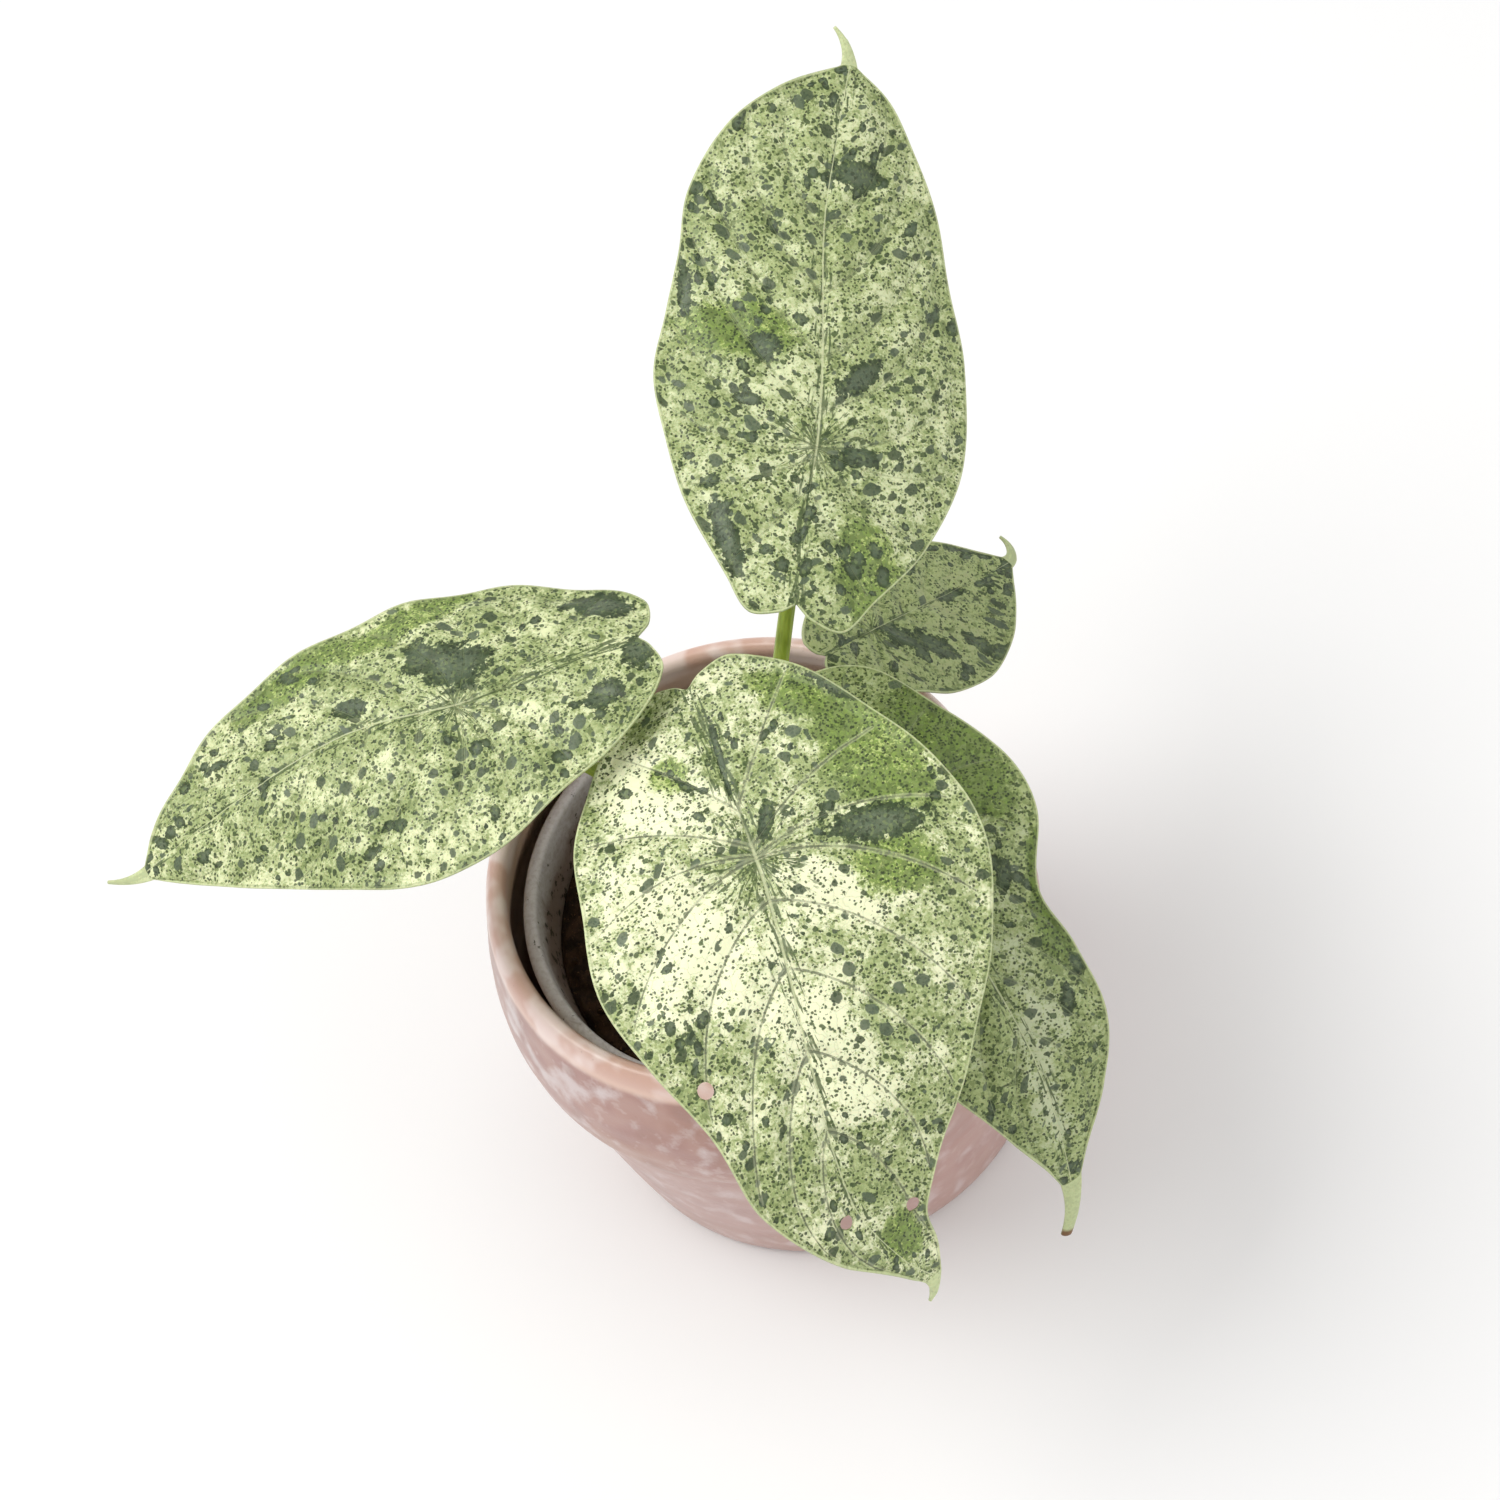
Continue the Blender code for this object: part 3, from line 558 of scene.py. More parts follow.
def leaf_finish(name, ground, vein_tone, cover, spots, speck, lift, veins, drawn, painted_shade):
    """Cream and green blade, mixed as small cells that are each one or the other: the
    share of green ones drifts with clouds and rises in the fresh sectors. Small spots
    are drawn one to a cell; blotches and sectors come from the markings on the mesh,
    their edges broken up by the grain."""
    f = Finish("leaf_" + name, 0.42, Specular_IOR_Level=0.36, Subsurface_Weight=0.04,
               Subsurface_Scale=0.0015)
    flat, lean = f.uv("flat"), f.uv("lean")
    patches, lines, courses = f.marked("patches"), f.marked("lines"), f.marked("courses")
    dark, fresh, pale = f.parts(patches["Color"])[:3]
    vein, rib, rim = f.parts(lines["Color"])[:3]
    course, gap, wide = f.parts(courses["Color"])[:3]
    beside, under, near = patches["Alpha"], lines["Alpha"], f.marked("near")["Fac"]

    clouds = f.noise(80, 2.0)
    tufts = f.noise(300, 3.0, 0.6)
    grain = f.noise(1050, 3.0, 0.65)
    shaken = f.shake(f.place, 1500, 0.0005)
    sector = f.step(f.sum(fresh, (tufts, 0.55), (clouds, 0.25), (grain, 0.35)), 0.68, 1.02)
    green = f.sum((clouds, 1.3), (tufts, 1.5), (pale, -0.75), (sector, 0.55), cover - 1.4)

    # ground: cream clouding into pale green
    mottle = f.step(f.sum(green, (grain, 0.9)), 0.70, 1.45)
    base = f.mix(mottle, ground, PALE_GREEN)
    base = f.lay(base, BRIGHT_GREEN, sector, 0.7)
    # granules under half a millimetre
    pick, shade = f.parts(f.cells(2100, shaken).outputs["Color"])[:2]
    one = f.step(f.sum((green, 0.90), (grain, 1.1), (pick, -1.0), -0.80), -0.04, 0.10)
    granule = f.mix(sector, f.mix(shade, PALE_GREEN, SOFT_GREEN), f.mix(shade, FRESH_GREEN, rgb(96, 118, 54)))
    base = f.lay(base, granule, one, lift)
    # tufts of a millimetre
    pick, shade = f.parts(f.cells(900, shaken).outputs["Color"])[:2]
    two = f.step(f.sum((green, 0.62), grain, (pick, -1.0), -0.82), -0.03, 0.06)
    base = f.lay(base, f.mix(shade, MOSS_GREEN, SOFT_GREEN), two, 0.8 * lift)
    # dark specks, closer together where the blade is greener
    cell = f.cells(1500, shaken)
    pick, shade = f.parts(cell.outputs["Color"])[1:3]
    three = f.step(f.sum((green, 0.16), (tufts, 0.5), (pick, -1.0), 0.26 * speck - 0.32), -0.02, 0.02)
    three = f.times(three, f.step(cell.outputs["Distance"], 0.62, 0.40))
    base = f.lay(base, f.mix(shade, DEEP_GREEN, MOSS_GREEN), three, 0.9)

    # spots, one to a cell: most of the cells stay bare, the radius is random
    def spot_field(scale, most, share, wander):
        cell = f.cells(scale, f.shake(f.scaled(lean, drawn, 1.0), wander, 0.45 / scale), plane=True)
        size, chosen, shade = f.parts(cell.outputs["Color"])
        there = f.sum((chosen, -1.0), (clouds, 0.5), (tufts, 0.5), (sector, -0.55), share - 0.5)
        there = f.step(there, 0.0, 0.02)
        reach = f.sum((f.times(size, size), most), 0.10)
        disc = f.step(f.sum(cell.outputs["Distance"], (reach, -1.0), (grain, 0.25)), 0.16, 0.08)
        return f.times(there, disc), shade

    small, small_shade = spot_field(760, 0.34, spots, 900)
    large, large_shade = spot_field(330, 0.36, spots, 420)

    # streaks beside the midrib and out of the stalk seat
    runs = f.noise(1000, 3.0, 0.6, f.scaled(flat, 0.13, 1.0))
    rays = f.noise(1.0, 3.0, 0.6, f.polar(flat, 9.0, 170.0))
    streak = f.times(f.step(f.sum(runs, (beside, 0.20)), 0.66, 0.73), f.step(beside, 0.10, 0.45))
    ray = f.times(f.step(f.sum(rays, (near, 0.25)), 0.64, 0.70), f.step(near, 0.14, 0.32))
    base = f.lay(base, rgb(78, 94, 54), f.times(streak, ray, "MAXIMUM"), 0.88)

    # blotches and grey-green patches: ragged dark edges round a lighter heart
    edge = f.sum(dark, (tufts, 0.85), (grain, 0.40))
    patch = f.step(edge, 1.03, 1.09)
    heart = f.step(f.sum(dark, (tufts, 0.35)), 0.70, 1.0)
    deep = f.mix(f.step(tufts, 0.40, 0.60), SLATE_GREEN, BLOTCH_GREEN)
    deep = f.lay(deep, SLATE_HEART, heart, 0.75)
    deep = f.lay(deep, SOFT_GREEN, f.step(pick, 0.86, 0.90), 0.35)
    deep = f.lay(deep, DEEP_GREEN, f.step(pick, 0.20, 0.16), 0.6)
    base = f.lay(base, f.mix(small_shade, BLOTCH_GREEN, rgb(78, 96, 52)), small, 0.9)
    base = f.lay(base, f.mix(large_shade, BLOTCH_GREEN, SLATE_HEART), large, 0.9)
    base = f.lay(base, deep, patch, 0.93)

    # fine net, side veins (their own tone, and where that tone is dark, painted shade in their
    # creases too), midrib, a painted shade line inside the margin, and pale margin
    net = f.cells(260, f.shake(f.place, 700, 0.0012), "DISTANCE_TO_EDGE")
    threads = f.step(net.outputs["Distance"], 0.030, 0.0)
    base = f.lay(base, vein_tone, threads, 0.15)

    off = f.times(f.off_whole(f.times(course, COURSE_MOST)), f.times(gap, GAP_MOST))
    line = f.step(f.sum(off, (wide, -1.0), (grain, 0.3)), 0.26, 0.10)
    line = f.times(line, f.sum((f.step(tufts, 0.40, 0.56), 0.55), 0.45))
    pillow = f.step(off, 0.0, 2.6)
    halo = f.times(f.step(f.sum(off, (wide, -3.0)), 0.30, 0.0), f.step(patch, 0.8, 0.2))
    fine = f.times(f.off_whole(f.times(course, 3 * COURSE_MOST)), f.times(gap, GAP_MOST / 3))
    fine = f.step(f.sum(fine, (grain, 0.5)), 0.38, 0.24)
    base = f.lay(base, vein_tone, fine, 0.30 * veins)
    base = f.lay(base, ground, halo, 0.25 * veins)
    # vein lines in the leaf's vein tone: the veins' own colour, and where the tone is dark, painted shade in
    # their creases as well
    base = f.lay(base, vein_tone, line, veins)
    base = f.lay(base, MIDRIB_PALE, f.step(rib, 0.80, 0.98), 0.75)
    # a thin darker line just inside the pale margin: painted shade under the curled edge
    margin_shade_line = f.times(f.step(rim, 0.24, 0.18), f.step(rim, 0.07, 0.12))
    base = f.lay(base, rgb(120, 134, 84), margin_shade_line, 0.35)
    base = f.lay(base, MARGIN_PALE, f.step(rim, 0.11, 0.06), 0.75)
    base = f.mix(f.step(near, -0.86, -0.94), base, CUT_BROWN)
    below = f.mix(0.35, UNDERSIDE, base)
    below = f.lay(below, rgb(190, 200, 148), vein, 0.6)
    # the whole blade mixed a share towards black: painted shade over the leaf
    f.colour(f.mix(painted_shade, f.mix(under, base, below), rgb(0, 0, 0)))
    f.bump(f.sum((grain, 0.6), (tufts, 0.5), (patch, -0.25), (threads, -0.3), (line, -0.9),
                 (pillow, 2.2)), 0.00022, 0.8)
    return f.material


def drawn_blotches(name):
    """Dark blotches in heaps, as rows like those of SECTORS without the kind: a heap's
    centre is a random share of the margin and of the way out to it; its blotches
    scatter round it and turn along the side veins."""
    leaf, rule = LEAVES[name], BLOTCHES[name]
    random = np.random.default_rng(rule["seed"])
    rows = []
    for _ in range(rule["heaps"]):
        t = random.uniform(0.05, 0.97)
        part = random.uniform(0.05, 0.93) ** 0.7
        side = random.random() < 0.5
        spots = [np.array(flat_point(np.array([t + forward_sweep(t, p)]), p, side, leaf))[:, 0]
                 for p in (part, part + 0.05)]
        run = spots[1] - spots[0]
        along = math.degrees(math.atan2(run[1], run[0]))
        for _ in range(random.integers(1, HEAP_MOST + 1)):
            ahead, out = spots[0] + random.normal(0, rule["scatter"], 2)
            long = rule["least"] * (rule["greatest"] / rule["least"]) ** random.random()
            rows.append((ahead, out, long, long * random.uniform(0.5, 0.95), along + random.uniform(-25, 25)))
    return rows


def patch_field(kind, points, name):
    """Largest of (1 - distance in half axes / 1.55) over the patches of one kind, or
    zero."""
    rows = [row[1:] for row in SECTORS[name] if row[0] == kind]
    rows += drawn_blotches(name) if kind == "dark" else []
    field = np.zeros(len(points))
    for ahead, out, long, short, turn in rows:
        a = math.radians(turn)
        run = points - (ahead, out)
        u = (run[:, 0] * math.cos(a) + run[:, 1] * math.sin(a)) / long
        v = (-run[:, 0] * math.sin(a) + run[:, 1] * math.cos(a)) / short
        field = np.maximum(field, 1 - np.hypot(u, v) / 1.55)
    return field


def drip_tail(leaf, share, half):
    """Rows drawn out from the tip along an arc and thickened to a round thread: their
    places, their half thicknesses, and the mark of the end. share runs from -1 to 1
    across the blade, half is the blade's half thickness at the tip."""
    left, right = leaf["left"]["widths"][-1], leaf["right"]["widths"][-1]
    long, curl, upward, end = leaf["tail"]
    q = np.linspace(0, 1, TAIL_ROWS + 1)[1:, None]
    width = end + ((left + right) / 2 - end) * (1 - q) ** 1.3
    turn = math.radians(curl)
    run, aside = arc(0.0, turn / long, long * q)
    places = bent(leaf["length"] + run + share * width * np.sin(turn * q),
                  (left - right) / 2 + aside - share * width * np.cos(turn * q),
                  upward * q**2 + 0 * share, leaf)
    round_half = np.minimum(width, 0.9) * np.sqrt(np.maximum(1 - (0.99 * share) ** 2, 0))
    blend = held(q * 2.5)
    # a tail that ends blunt was cut: its end is marked by falling below zero
    return places, half * (1 - blend) + round_half * blend, -q if end > 1 else 0 * q


def blade_faces(total, columns, gone):
    """Faces of a closed blade. Points 0 and 1 are the notch's top and underside; then
    come the other rows of the top, and those of the underside. Quads that touch a gone
    point are left out, and a sleeve closes every hole."""
    count = (total - 1) * columns
    quads = grid_faces(total - 1, columns)
    lost = gone[quads].any(axis=1)
    rims = border_of(quads[lost]) + 2
    quads = quads[~lost] + 2
    sleeves = np.stack([rims[:, 0], rims[:, 1], rims[:, 1] + count, rims[:, 0] + count], -1)
    j = np.arange(columns - 1)
    first = np.stack([0 * j, j + 3, j + 2], -1)
    first_low = np.stack([0 * j + 1, j + 2 + count, j + 3 + count], -1)
    row = 2 + np.arange(total - 2) * columns
    walls = []
    for column, order in ((0, 1), (columns - 1, -1)):
        a, b = row + column, row + columns + column
        walls += np.stack([a, b, b + count, a + count], -1)[:, ::order].tolist()
    ends = [[0, 2, 2 + count, 1], [0, 1, 1 + count + columns, 1 + columns]]
    tip = 2 + (total - 2) * columns + np.arange(columns)
    cap = tip.tolist() + (tip + count)[::-1].tolist()
    return (quads.tolist() + (quads[:, ::-1] + count).tolist() + first.tolist() + first_low.tolist()
            + walls + sleeves.tolist() + ends + [cap])


def make_leaf(name):
    """Blade on a grid: row t runs from the left margin over the midrib to the right one.
    Middle surface = bent(flat point, lift), lift = margin wave + quilting, where
    quilting = 1.05 (1 - exp(-(d / 4.4)^2)) - 0.52 for the distance d to the next vein,
    both scaled by the leaf's size.
    Top and underside stand half the thickness off it, and ribs swell the underside."""
    leaf = LEAVES[name]
    fine = 1.0 if name != "small" else 0.62
    rows, cells = int(LEAF_ROWS * fine), int(LEAF_CELLS * fine)
    t = np.linspace(0, 1, rows + 1)
    s = np.linspace(-1, 1, 2 * cells + 1)
    part = np.abs(s) - 0.45 * np.sin(2 * math.pi * np.abs(s)) / (2 * math.pi)
    tt, pp = np.meshgrid(t, part, indexing="ij")
    ahead, out = np.empty_like(tt), np.empty_like(tt)
    for side, columns in ((True, slice(0, cells)), (False, slice(cells, None))):
        ahead[:, columns], out[:, columns] = flat_point(tt[:, columns], pp[:, columns], side, leaf)
    flat = np.stack([ahead, out], -1).reshape(-1, 2)
    flat, gone = open_holes(flat, tt.shape, leaf.get("punched", []))
    height, waves, phase = leaf["waves"]
    fade = held(tt / 0.12) * held((1 - tt) / 0.15)
    wave = height * pp**2 * fade * np.sin(2 * math.pi * waves * tt + phase + 1.7 * (s[None, :] > 0))

    size = leaf["length"] / 95
    beside = flat[:, 1] - stray(flat[:, 0], leaf)
    nearest = np.abs(beside)
    vein = np.zeros(len(flat))
    ridge = np.zeros(len(flat))
    for line, strong, side in vein_lines(leaf):
        d, along = distance_to(flat, line)
        taper = strong * (1 - 0.65 * along)
        vein = np.maximum(vein, (0.35 + 0.65 * taper) * np.exp(-(d / (0.22 + 0.22 * taper)) ** 2))
        ridge = np.maximum(ridge, 0.42 * taper * np.exp(-(d / (0.5 + 0.3 * taper)) ** 2))
        nearest = np.minimum(nearest, d)
    toward_tip = held(flat[:, 0] / leaf["length"])
    behind = held(-flat[:, 0] / leaf["notch"])
    rib_width = 1.25 * size * (1 - 0.65 * toward_tip) * (1 - 0.6 * behind)
    rib = np.exp(-(beside / np.maximum(rib_width, 0.2)) ** 2) * (1 - 0.6 * behind)
    crease = np.exp(-(beside / (0.6 * rib_width + 0.2)) ** 2) * (1 - 0.4 * toward_tip)
    quilt = 1.05 * (1 - np.exp(-(nearest / (4.4 * size)) ** 2)) - 0.52
    edge_fade = held((1 - pp.ravel()) / 0.08) * held(tt.ravel() / 0.05)
    edge_fade *= held((1 - tt.ravel()) / 0.06)
    uneven = 0.25 * lattice_noise(flat[:, 0] + 300, flat[:, 1] + 300, 7.0, 11 + len(name))
    uneven += 0.10 * lattice_noise(flat[:, 0] + 300, flat[:, 1] + 300, 2.6, 5 + len(name))
    lift = wave.ravel() + (quilt * size + uneven - 0.32 * crease - 0.14 * vein) * edge_fade
    grid = bent(flat[:, 0], flat[:, 1], lift, leaf).reshape(*tt.shape, 3)
    half = 0.5 * (BLADE_THICKNESS + (MARGIN_THICKNESS - BLADE_THICKNESS) * pp**3)
    swell = (1.25 * rib * (1 - 0.75 * toward_tip) + ridge).reshape(tt.shape) * edge_fade.reshape(tt.shape)

    tail, tail_half, ending = drip_tail(leaf, np.sign(s) * part, half[-1])
    grid, half = np.concatenate([grid, tail]), np.concatenate([half, tail_half])
    swell = np.concatenate([swell, np.zeros_like(tail_half)])

    along = np.gradient(grid, axis=0)
    across = np.gradient(grid, axis=1)
    across[0] = across[1]
    normal = unit(np.cross(across, along))
    top = grid + normal * half[..., None]
    below = grid - normal * (half + swell)[..., None]

    total, columns = grid.shape[:2]
    count = (total - 1) * columns
    points = np.concatenate([top[0, cells][None], below[0, cells][None],
                             top[1:].reshape(-1, 3), below[1:].reshape(-1, 3)])
    gone = np.concatenate([gone.reshape(tt.shape)[1:].ravel(), np.zeros(TAIL_ROWS * columns, bool)])
    faces = blade_faces(total, columns, gone)
    keep = np.zeros(len(points), bool)
    keep[np.concatenate(faces)] = True
    number = np.cumsum(keep) - 1
    faces = [number[face].tolist() for face in faces]
    mesh = new_piece("blade_" + name, points[keep], faces, leaf_finish(name, **TONES[name]),
                     ["leaf_" + name]).data

    def spread(values, tail_value=None):
        """One value a grid point, laid out over the top and the underside."""
        values = np.reshape(values, tt.shape)
        more = np.broadcast_to(values[-1:] if tail_value is None else tail_value, (TAIL_ROWS, columns))
        values = np.concatenate([values, more])
        return np.concatenate([[values[0, cells]] * 2, values[1:].ravel(), values[1:].ravel()])[keep]

    left_side = np.broadcast_to(s < 0, tt.shape)
    point, face = corners(mesh)
    face_left = np.zeros(len(faces))
    np.maximum.at(face_left, face, spread(left_side.astype(float))[point])
    lay_map(mesh, "flat", np.stack([spread(flat[:, 0]), spread(flat[:, 1])], -1)[point])
    # lean map: turned so that its first axis runs out along the side veins of each half
    off = np.abs(beside)
    turned_out = flat[:, 0] * math.cos(VEIN_LEAN) + off * math.sin(VEIN_LEAN)
    turned_aside = off * math.cos(VEIN_LEAN) - flat[:, 0] * math.sin(VEIN_LEAN)
    lean = np.stack([spread(turned_out), spread(turned_aside)], -1)[point]
    lay_map(mesh, "lean", lean + np.where(face_left[face] > 0.5, 0.0, HALVES_APART)[:, None])

    span = [np.hypot(*np.subtract(flat_point(t, 1.0, side, leaf), flat_point(t, 0.0, side, leaf)))[:, None]
            for side in (True, False)]
    rim = spread((1 - pp) * np.maximum(np.where(left_side, *span), 1.0), 0.0)
    under = np.concatenate([[0.0, 1.0], np.zeros(count), np.ones(count)])[keep]
    streaks = spread(np.exp(-(beside / (3.2 * size)) ** 2) * (1 - 0.5 * toward_tip), 0.0)
    patches = [spread(patch_field(kind, flat, name), 0.0) for kind in ("dark", "fresh", "pale")]
    number, gap = vein_course(tt, pp, *(flat[:, k].reshape(tt.shape) for k in (0, 1)))
    inside = held((MARGIN_VEIN + 0.02 - pp) / 0.03)
    wide = spread((0.26 - 0.16 * pp) * inside - 0.30 * (1 - inside), -0.3)
    mark(mesh, "patches", np.stack([*patches, streaks], -1))
    mark(mesh, "lines", np.stack([spread(vein * edge_fade, 0.0), spread(rib, 0.6),
                                  held(rim / RIM_MOST), under], -1))
    mark(mesh, "courses", np.stack([spread(number) / COURSE_MOST, spread(gap) / GAP_MOST, wide, 0 * rim], -1))
    mark(mesh, "near", spread(np.exp(-np.hypot(flat[:, 0], flat[:, 1]) / (9.0 * size)), ending))


def open_holes(flat, shape, holes):
    """Round holes in the flat grid: points inside each circle go, and every point left
    on the border of the gap moves onto the circle."""
    gone = np.zeros(len(flat), bool)
    flat = flat.copy()
    quads = grid_faces(*shape)
    for x, y, radius in holes:
        run = flat - (x, y)
        d = np.hypot(run[:, 0], run[:, 1])
        inside = d < radius
        gone |= inside
        border = np.unique(quads[inside[quads].any(axis=1)])
        border = border[~inside[border]]
        flat[border] = (x, y) + run[border] * (radius / d[border])[:, None]
    return flat, gone


def border_of(quads):
    """Edges (as walked by the lost faces) that belong to only one of them."""
    if not len(quads):
        return np.zeros((0, 2), int)
    sides = np.concatenate([quads[:, [k, (k + 1) % 4]] for k in range(4)])
    known = set(map(tuple, sides.tolist()))
    return np.array([edge for edge in map(tuple, sides.tolist()) if edge[::-1] not in known])


# Stalks
def stalk_finish():
    """Yellow-green skin, streaked along the stalk, brownish low down."""
    f = Finish("stalk_skin", 0.38, Specular_IOR_Level=0.45, Subsurface_Weight=0.08,
               Subsurface_Scale=0.002)
    streak = f.noise(900, 3.0, 0.6, f.scaled(f.uv("flow"), 1.0, 0.12))
    cloud = f.noise(120, 2.0)
    colour = f.mix(f.step(f.sum((streak, 0.6), (cloud, 0.4)), 0.35, 0.65),
                   rgb(112, 130, 26), rgb(150, 168, 58))
    colour = f.mix(f.step(streak, 0.60, 0.72), colour, rgb(84, 102, 30))
    f.colour(f.lay(colour, rgb(176, 150, 118), f.marked("low")["Fac"], 0.8))
    f.bump(streak, 0.0002, 0.7)
    return f.material


def make_stalk(name, finish):
    """Round tapered sweep along a cubic: centre = (1-q)^3 A + 3(1-q)^2 q B +
    3(1-q) q^2 C + q^3 D after an upright foot; radius falls from the sheath, flares
    at the seat and is ribbed by 1 + 0.03 cos 9a."""
    leaf, stalk = LEAVES[name], STALKS[name]
    step = 0.5
    here = bent(0.0, 0.0, 0.0, leaf)
    ahead = unit(bent(step, 0.0, 0.0, leaf) - bent(-step, 0.0, 0.0, leaf))
    leftward = unit(bent(0.0, step, 0.0, leaf) - bent(0.0, -step, 0.0, leaf))
    upward = unit(np.cross(ahead, leftward))
    x, y = stalk["root"]
    foot = np.array([x, y, SOIL_LEVEL - 13.0])
    start = np.array([x, y, SOIL_LEVEL + 4.0])
    arrive = unit(-upward - 0.55 * ahead)
    first = start + np.array([stalk["bow"][0], stalk["bow"][1], stalk["lower"]])
    second = here - upward + arrive * stalk["upper"]
    end = here - upward * SEAT_DEPTH
    steps, sides = 96, 28
    q = np.linspace(0, 1, steps + 1)[:, None]
    sweep = ((1 - q) ** 3 * start + 3 * (1 - q) ** 2 * q * first + 3 * (1 - q) * q**2 * second + q**3 * end)
    rise = np.linspace(0, 1, 9)[:-1, None]
    path = np.concatenate([foot + (start - foot) * rise, sweep])
    reach = np.concatenate([np.zeros(8), q[:, 0]])
    radius = 1.6 + 0.5 * (1 - reach) + 1.3 * held(1 - reach / 0.35) ** 1.6
    radius = radius + 0.9 * held((reach - 0.955) / 0.045) ** 2
    tangent = unit(np.gradient(path, axis=0))
    turn = held((reach - 0.93) / 0.07)[:, None]
    tangent = unit(tangent * (1 - turn) + upward * turn)
    side = unit(np.cross(tangent, np.cross((1.0, 0.0, 0.0), tangent)))
    other = np.cross(tangent, side)
    angle = round_angles(sides)
    rib = 1 + 0.030 * np.cos(9 * angle) * (1 - 0.5 * reach[:, None])
    ring = (radius[:, None] * rib)[..., None]
    points = path[:, None] + ring * (np.cos(angle)[None, :, None] * side[:, None]
                                     + np.sin(angle)[None, :, None] * other[:, None])
    rows = len(path)
    points = np.concatenate([points.reshape(-1, 3), path[:1], path[-1:]])
    mesh = new_piece("stem_" + name, points, tube_faces(rows, sides), finish, ["stalk_" + name]).data
    travel = np.concatenate([[0], np.cumsum(np.linalg.norm(np.diff(path, axis=0), axis=1))])
    point, face = corners(mesh)
    around = np.concatenate([np.tile(angle * FLOW_TURN, rows), [0, 0]])
    up = np.concatenate([np.repeat(travel, sides), [travel[0], travel[-1]]])
    places = np.stack([around[point], up[point]], -1)
    # the last strip round the stalk closes at one full turn, not at zero
    closing = np.isin(face, np.arange(rows - 1) * sides + sides - 1) & (places[:, 0] < 1.0)
    places[:, 0] += np.where(closing, 2 * math.pi * FLOW_TURN, 0)
    lay_map(mesh, "flow", places)
    mark(mesh, "low", held(1 - (points[:, 2] - SOIL_LEVEL) / 9.0))


# Potting mix
def liner_inner_radius(height):
    """Straight taper: 43.4 at 5.5 up, 52.9 at 97 up."""
    return 43.4 + (height - 5.5) / 91.5 * 9.5


def soil_height(x, y):
    """Lumpy top of the potting mix: three crossed waves, as in the solid."""
    return SOIL_LEVEL + 0.9 * (0.5 * np.sin(0.31 * x + 0.9) * np.cos(0.27 * y)
                               + 0.35 * np.sin(0.55 * y + 0.4 * x)
                               + 0.25 * np.cos(0.83 * x - 0.61 * y + 1.3))


def crumb_field(x, y, count, low, high, seed):
    """Round crumbs: the highest of sqrt(r^2 - d^2) - 0.45 r over the crumbs near a
    point, or zero."""
    random = np.random.default_rng(seed)
    spot = random.uniform(-50, 50, (count, 2))
    size = random.uniform(low, high, count)
    field = np.zeros(len(x))
    order = np.argsort(x)
    xs = x[order]
    for (px, py), r in zip(spot, size):
        near = order[np.searchsorted(xs, px - r):np.searchsorted(xs, px + r)]
        d2 = (x[near] - px) ** 2 + (y[near] - py) ** 2
        dome = np.sqrt(np.maximum(r * r - d2, 0)) - 0.45 * r
        field[near] = np.maximum(field[near], dome)
    return field


def soil_finish():
    """Dark brown peat with lighter fibres, and near-black painted shade where its bump is low."""
    f = Finish("potting_mix", 0.93, Specular_IOR_Level=0.25)
    fibre = f.noise(700, 4.0, 0.7)
    lump = f.noise(210, 3.0, 0.6)
    colour = f.mix(f.step(lump, 0.38, 0.64), rgb(34, 22, 16), rgb(66, 44, 32))
    colour = f.mix(f.step(fibre, 0.58, 0.70), colour, rgb(104, 74, 52))
    # near-black where the fibre noise, and so the bump, is low: painted shade in the hollows
    colour = f.mix(f.step(fibre, 0.36, 0.28), colour, rgb(16, 10, 8))
    f.colour(colour)
    f.bump(f.sum((fibre, 0.6), (lump, 0.4)), 0.0008, 1.0)
    return f.material


def make_soil(finish):
    """Polar grid, r = limit q^0.9, height = waves + crumbs of two sizes + fine noise; the
    wall goes down inside the liner to the solid's bottom, closed at the pole."""
    rings, sides = 120, 300
    q = np.linspace(0, 1, rings + 1)[1:] ** 0.9
    angle = round_angles(sides)
    limit = liner_inner_radius(SOIL_LEVEL - 1.5) - 0.35
    r = limit * q[:, None] + np.zeros(sides)
    x, y = (r * np.cos(angle)).ravel(), (r * np.sin(angle)).ravel()
    crumbs = np.maximum(crumb_field(x, y, 420, 1.2, 2.6, 3), crumb_field(x, y, 2600, 0.5, 1.2, 4))
    z = soil_height(x, y) - 0.9 + crumbs * 0.85 + 0.35 * lattice_noise(x + 90, y + 90, 1.3, 5)
    rim = held((limit - np.hypot(x, y)) / 1.5)
    z = SOIL_LEVEL - 1.6 + (z - SOIL_LEVEL + 1.6) * rim
    top = np.stack([x, y, z], -1)
    skirt, bottom = [], 7.4
    for height, inset in ((60.0, 0.5), (20.0, 0.5), (bottom, 0.8)):
        skirt.append(ring(liner_inner_radius(height) - inset, angle, height))
    points = np.concatenate([top, *skirt, [[0, 0, soil_height(0, 0) - 0.6], [0, 0, bottom]]])
    faces = tube_faces(rings + len(skirt), sides, inside_out=True)
    new_piece("potting_mix", points, faces, finish, ["soil"])


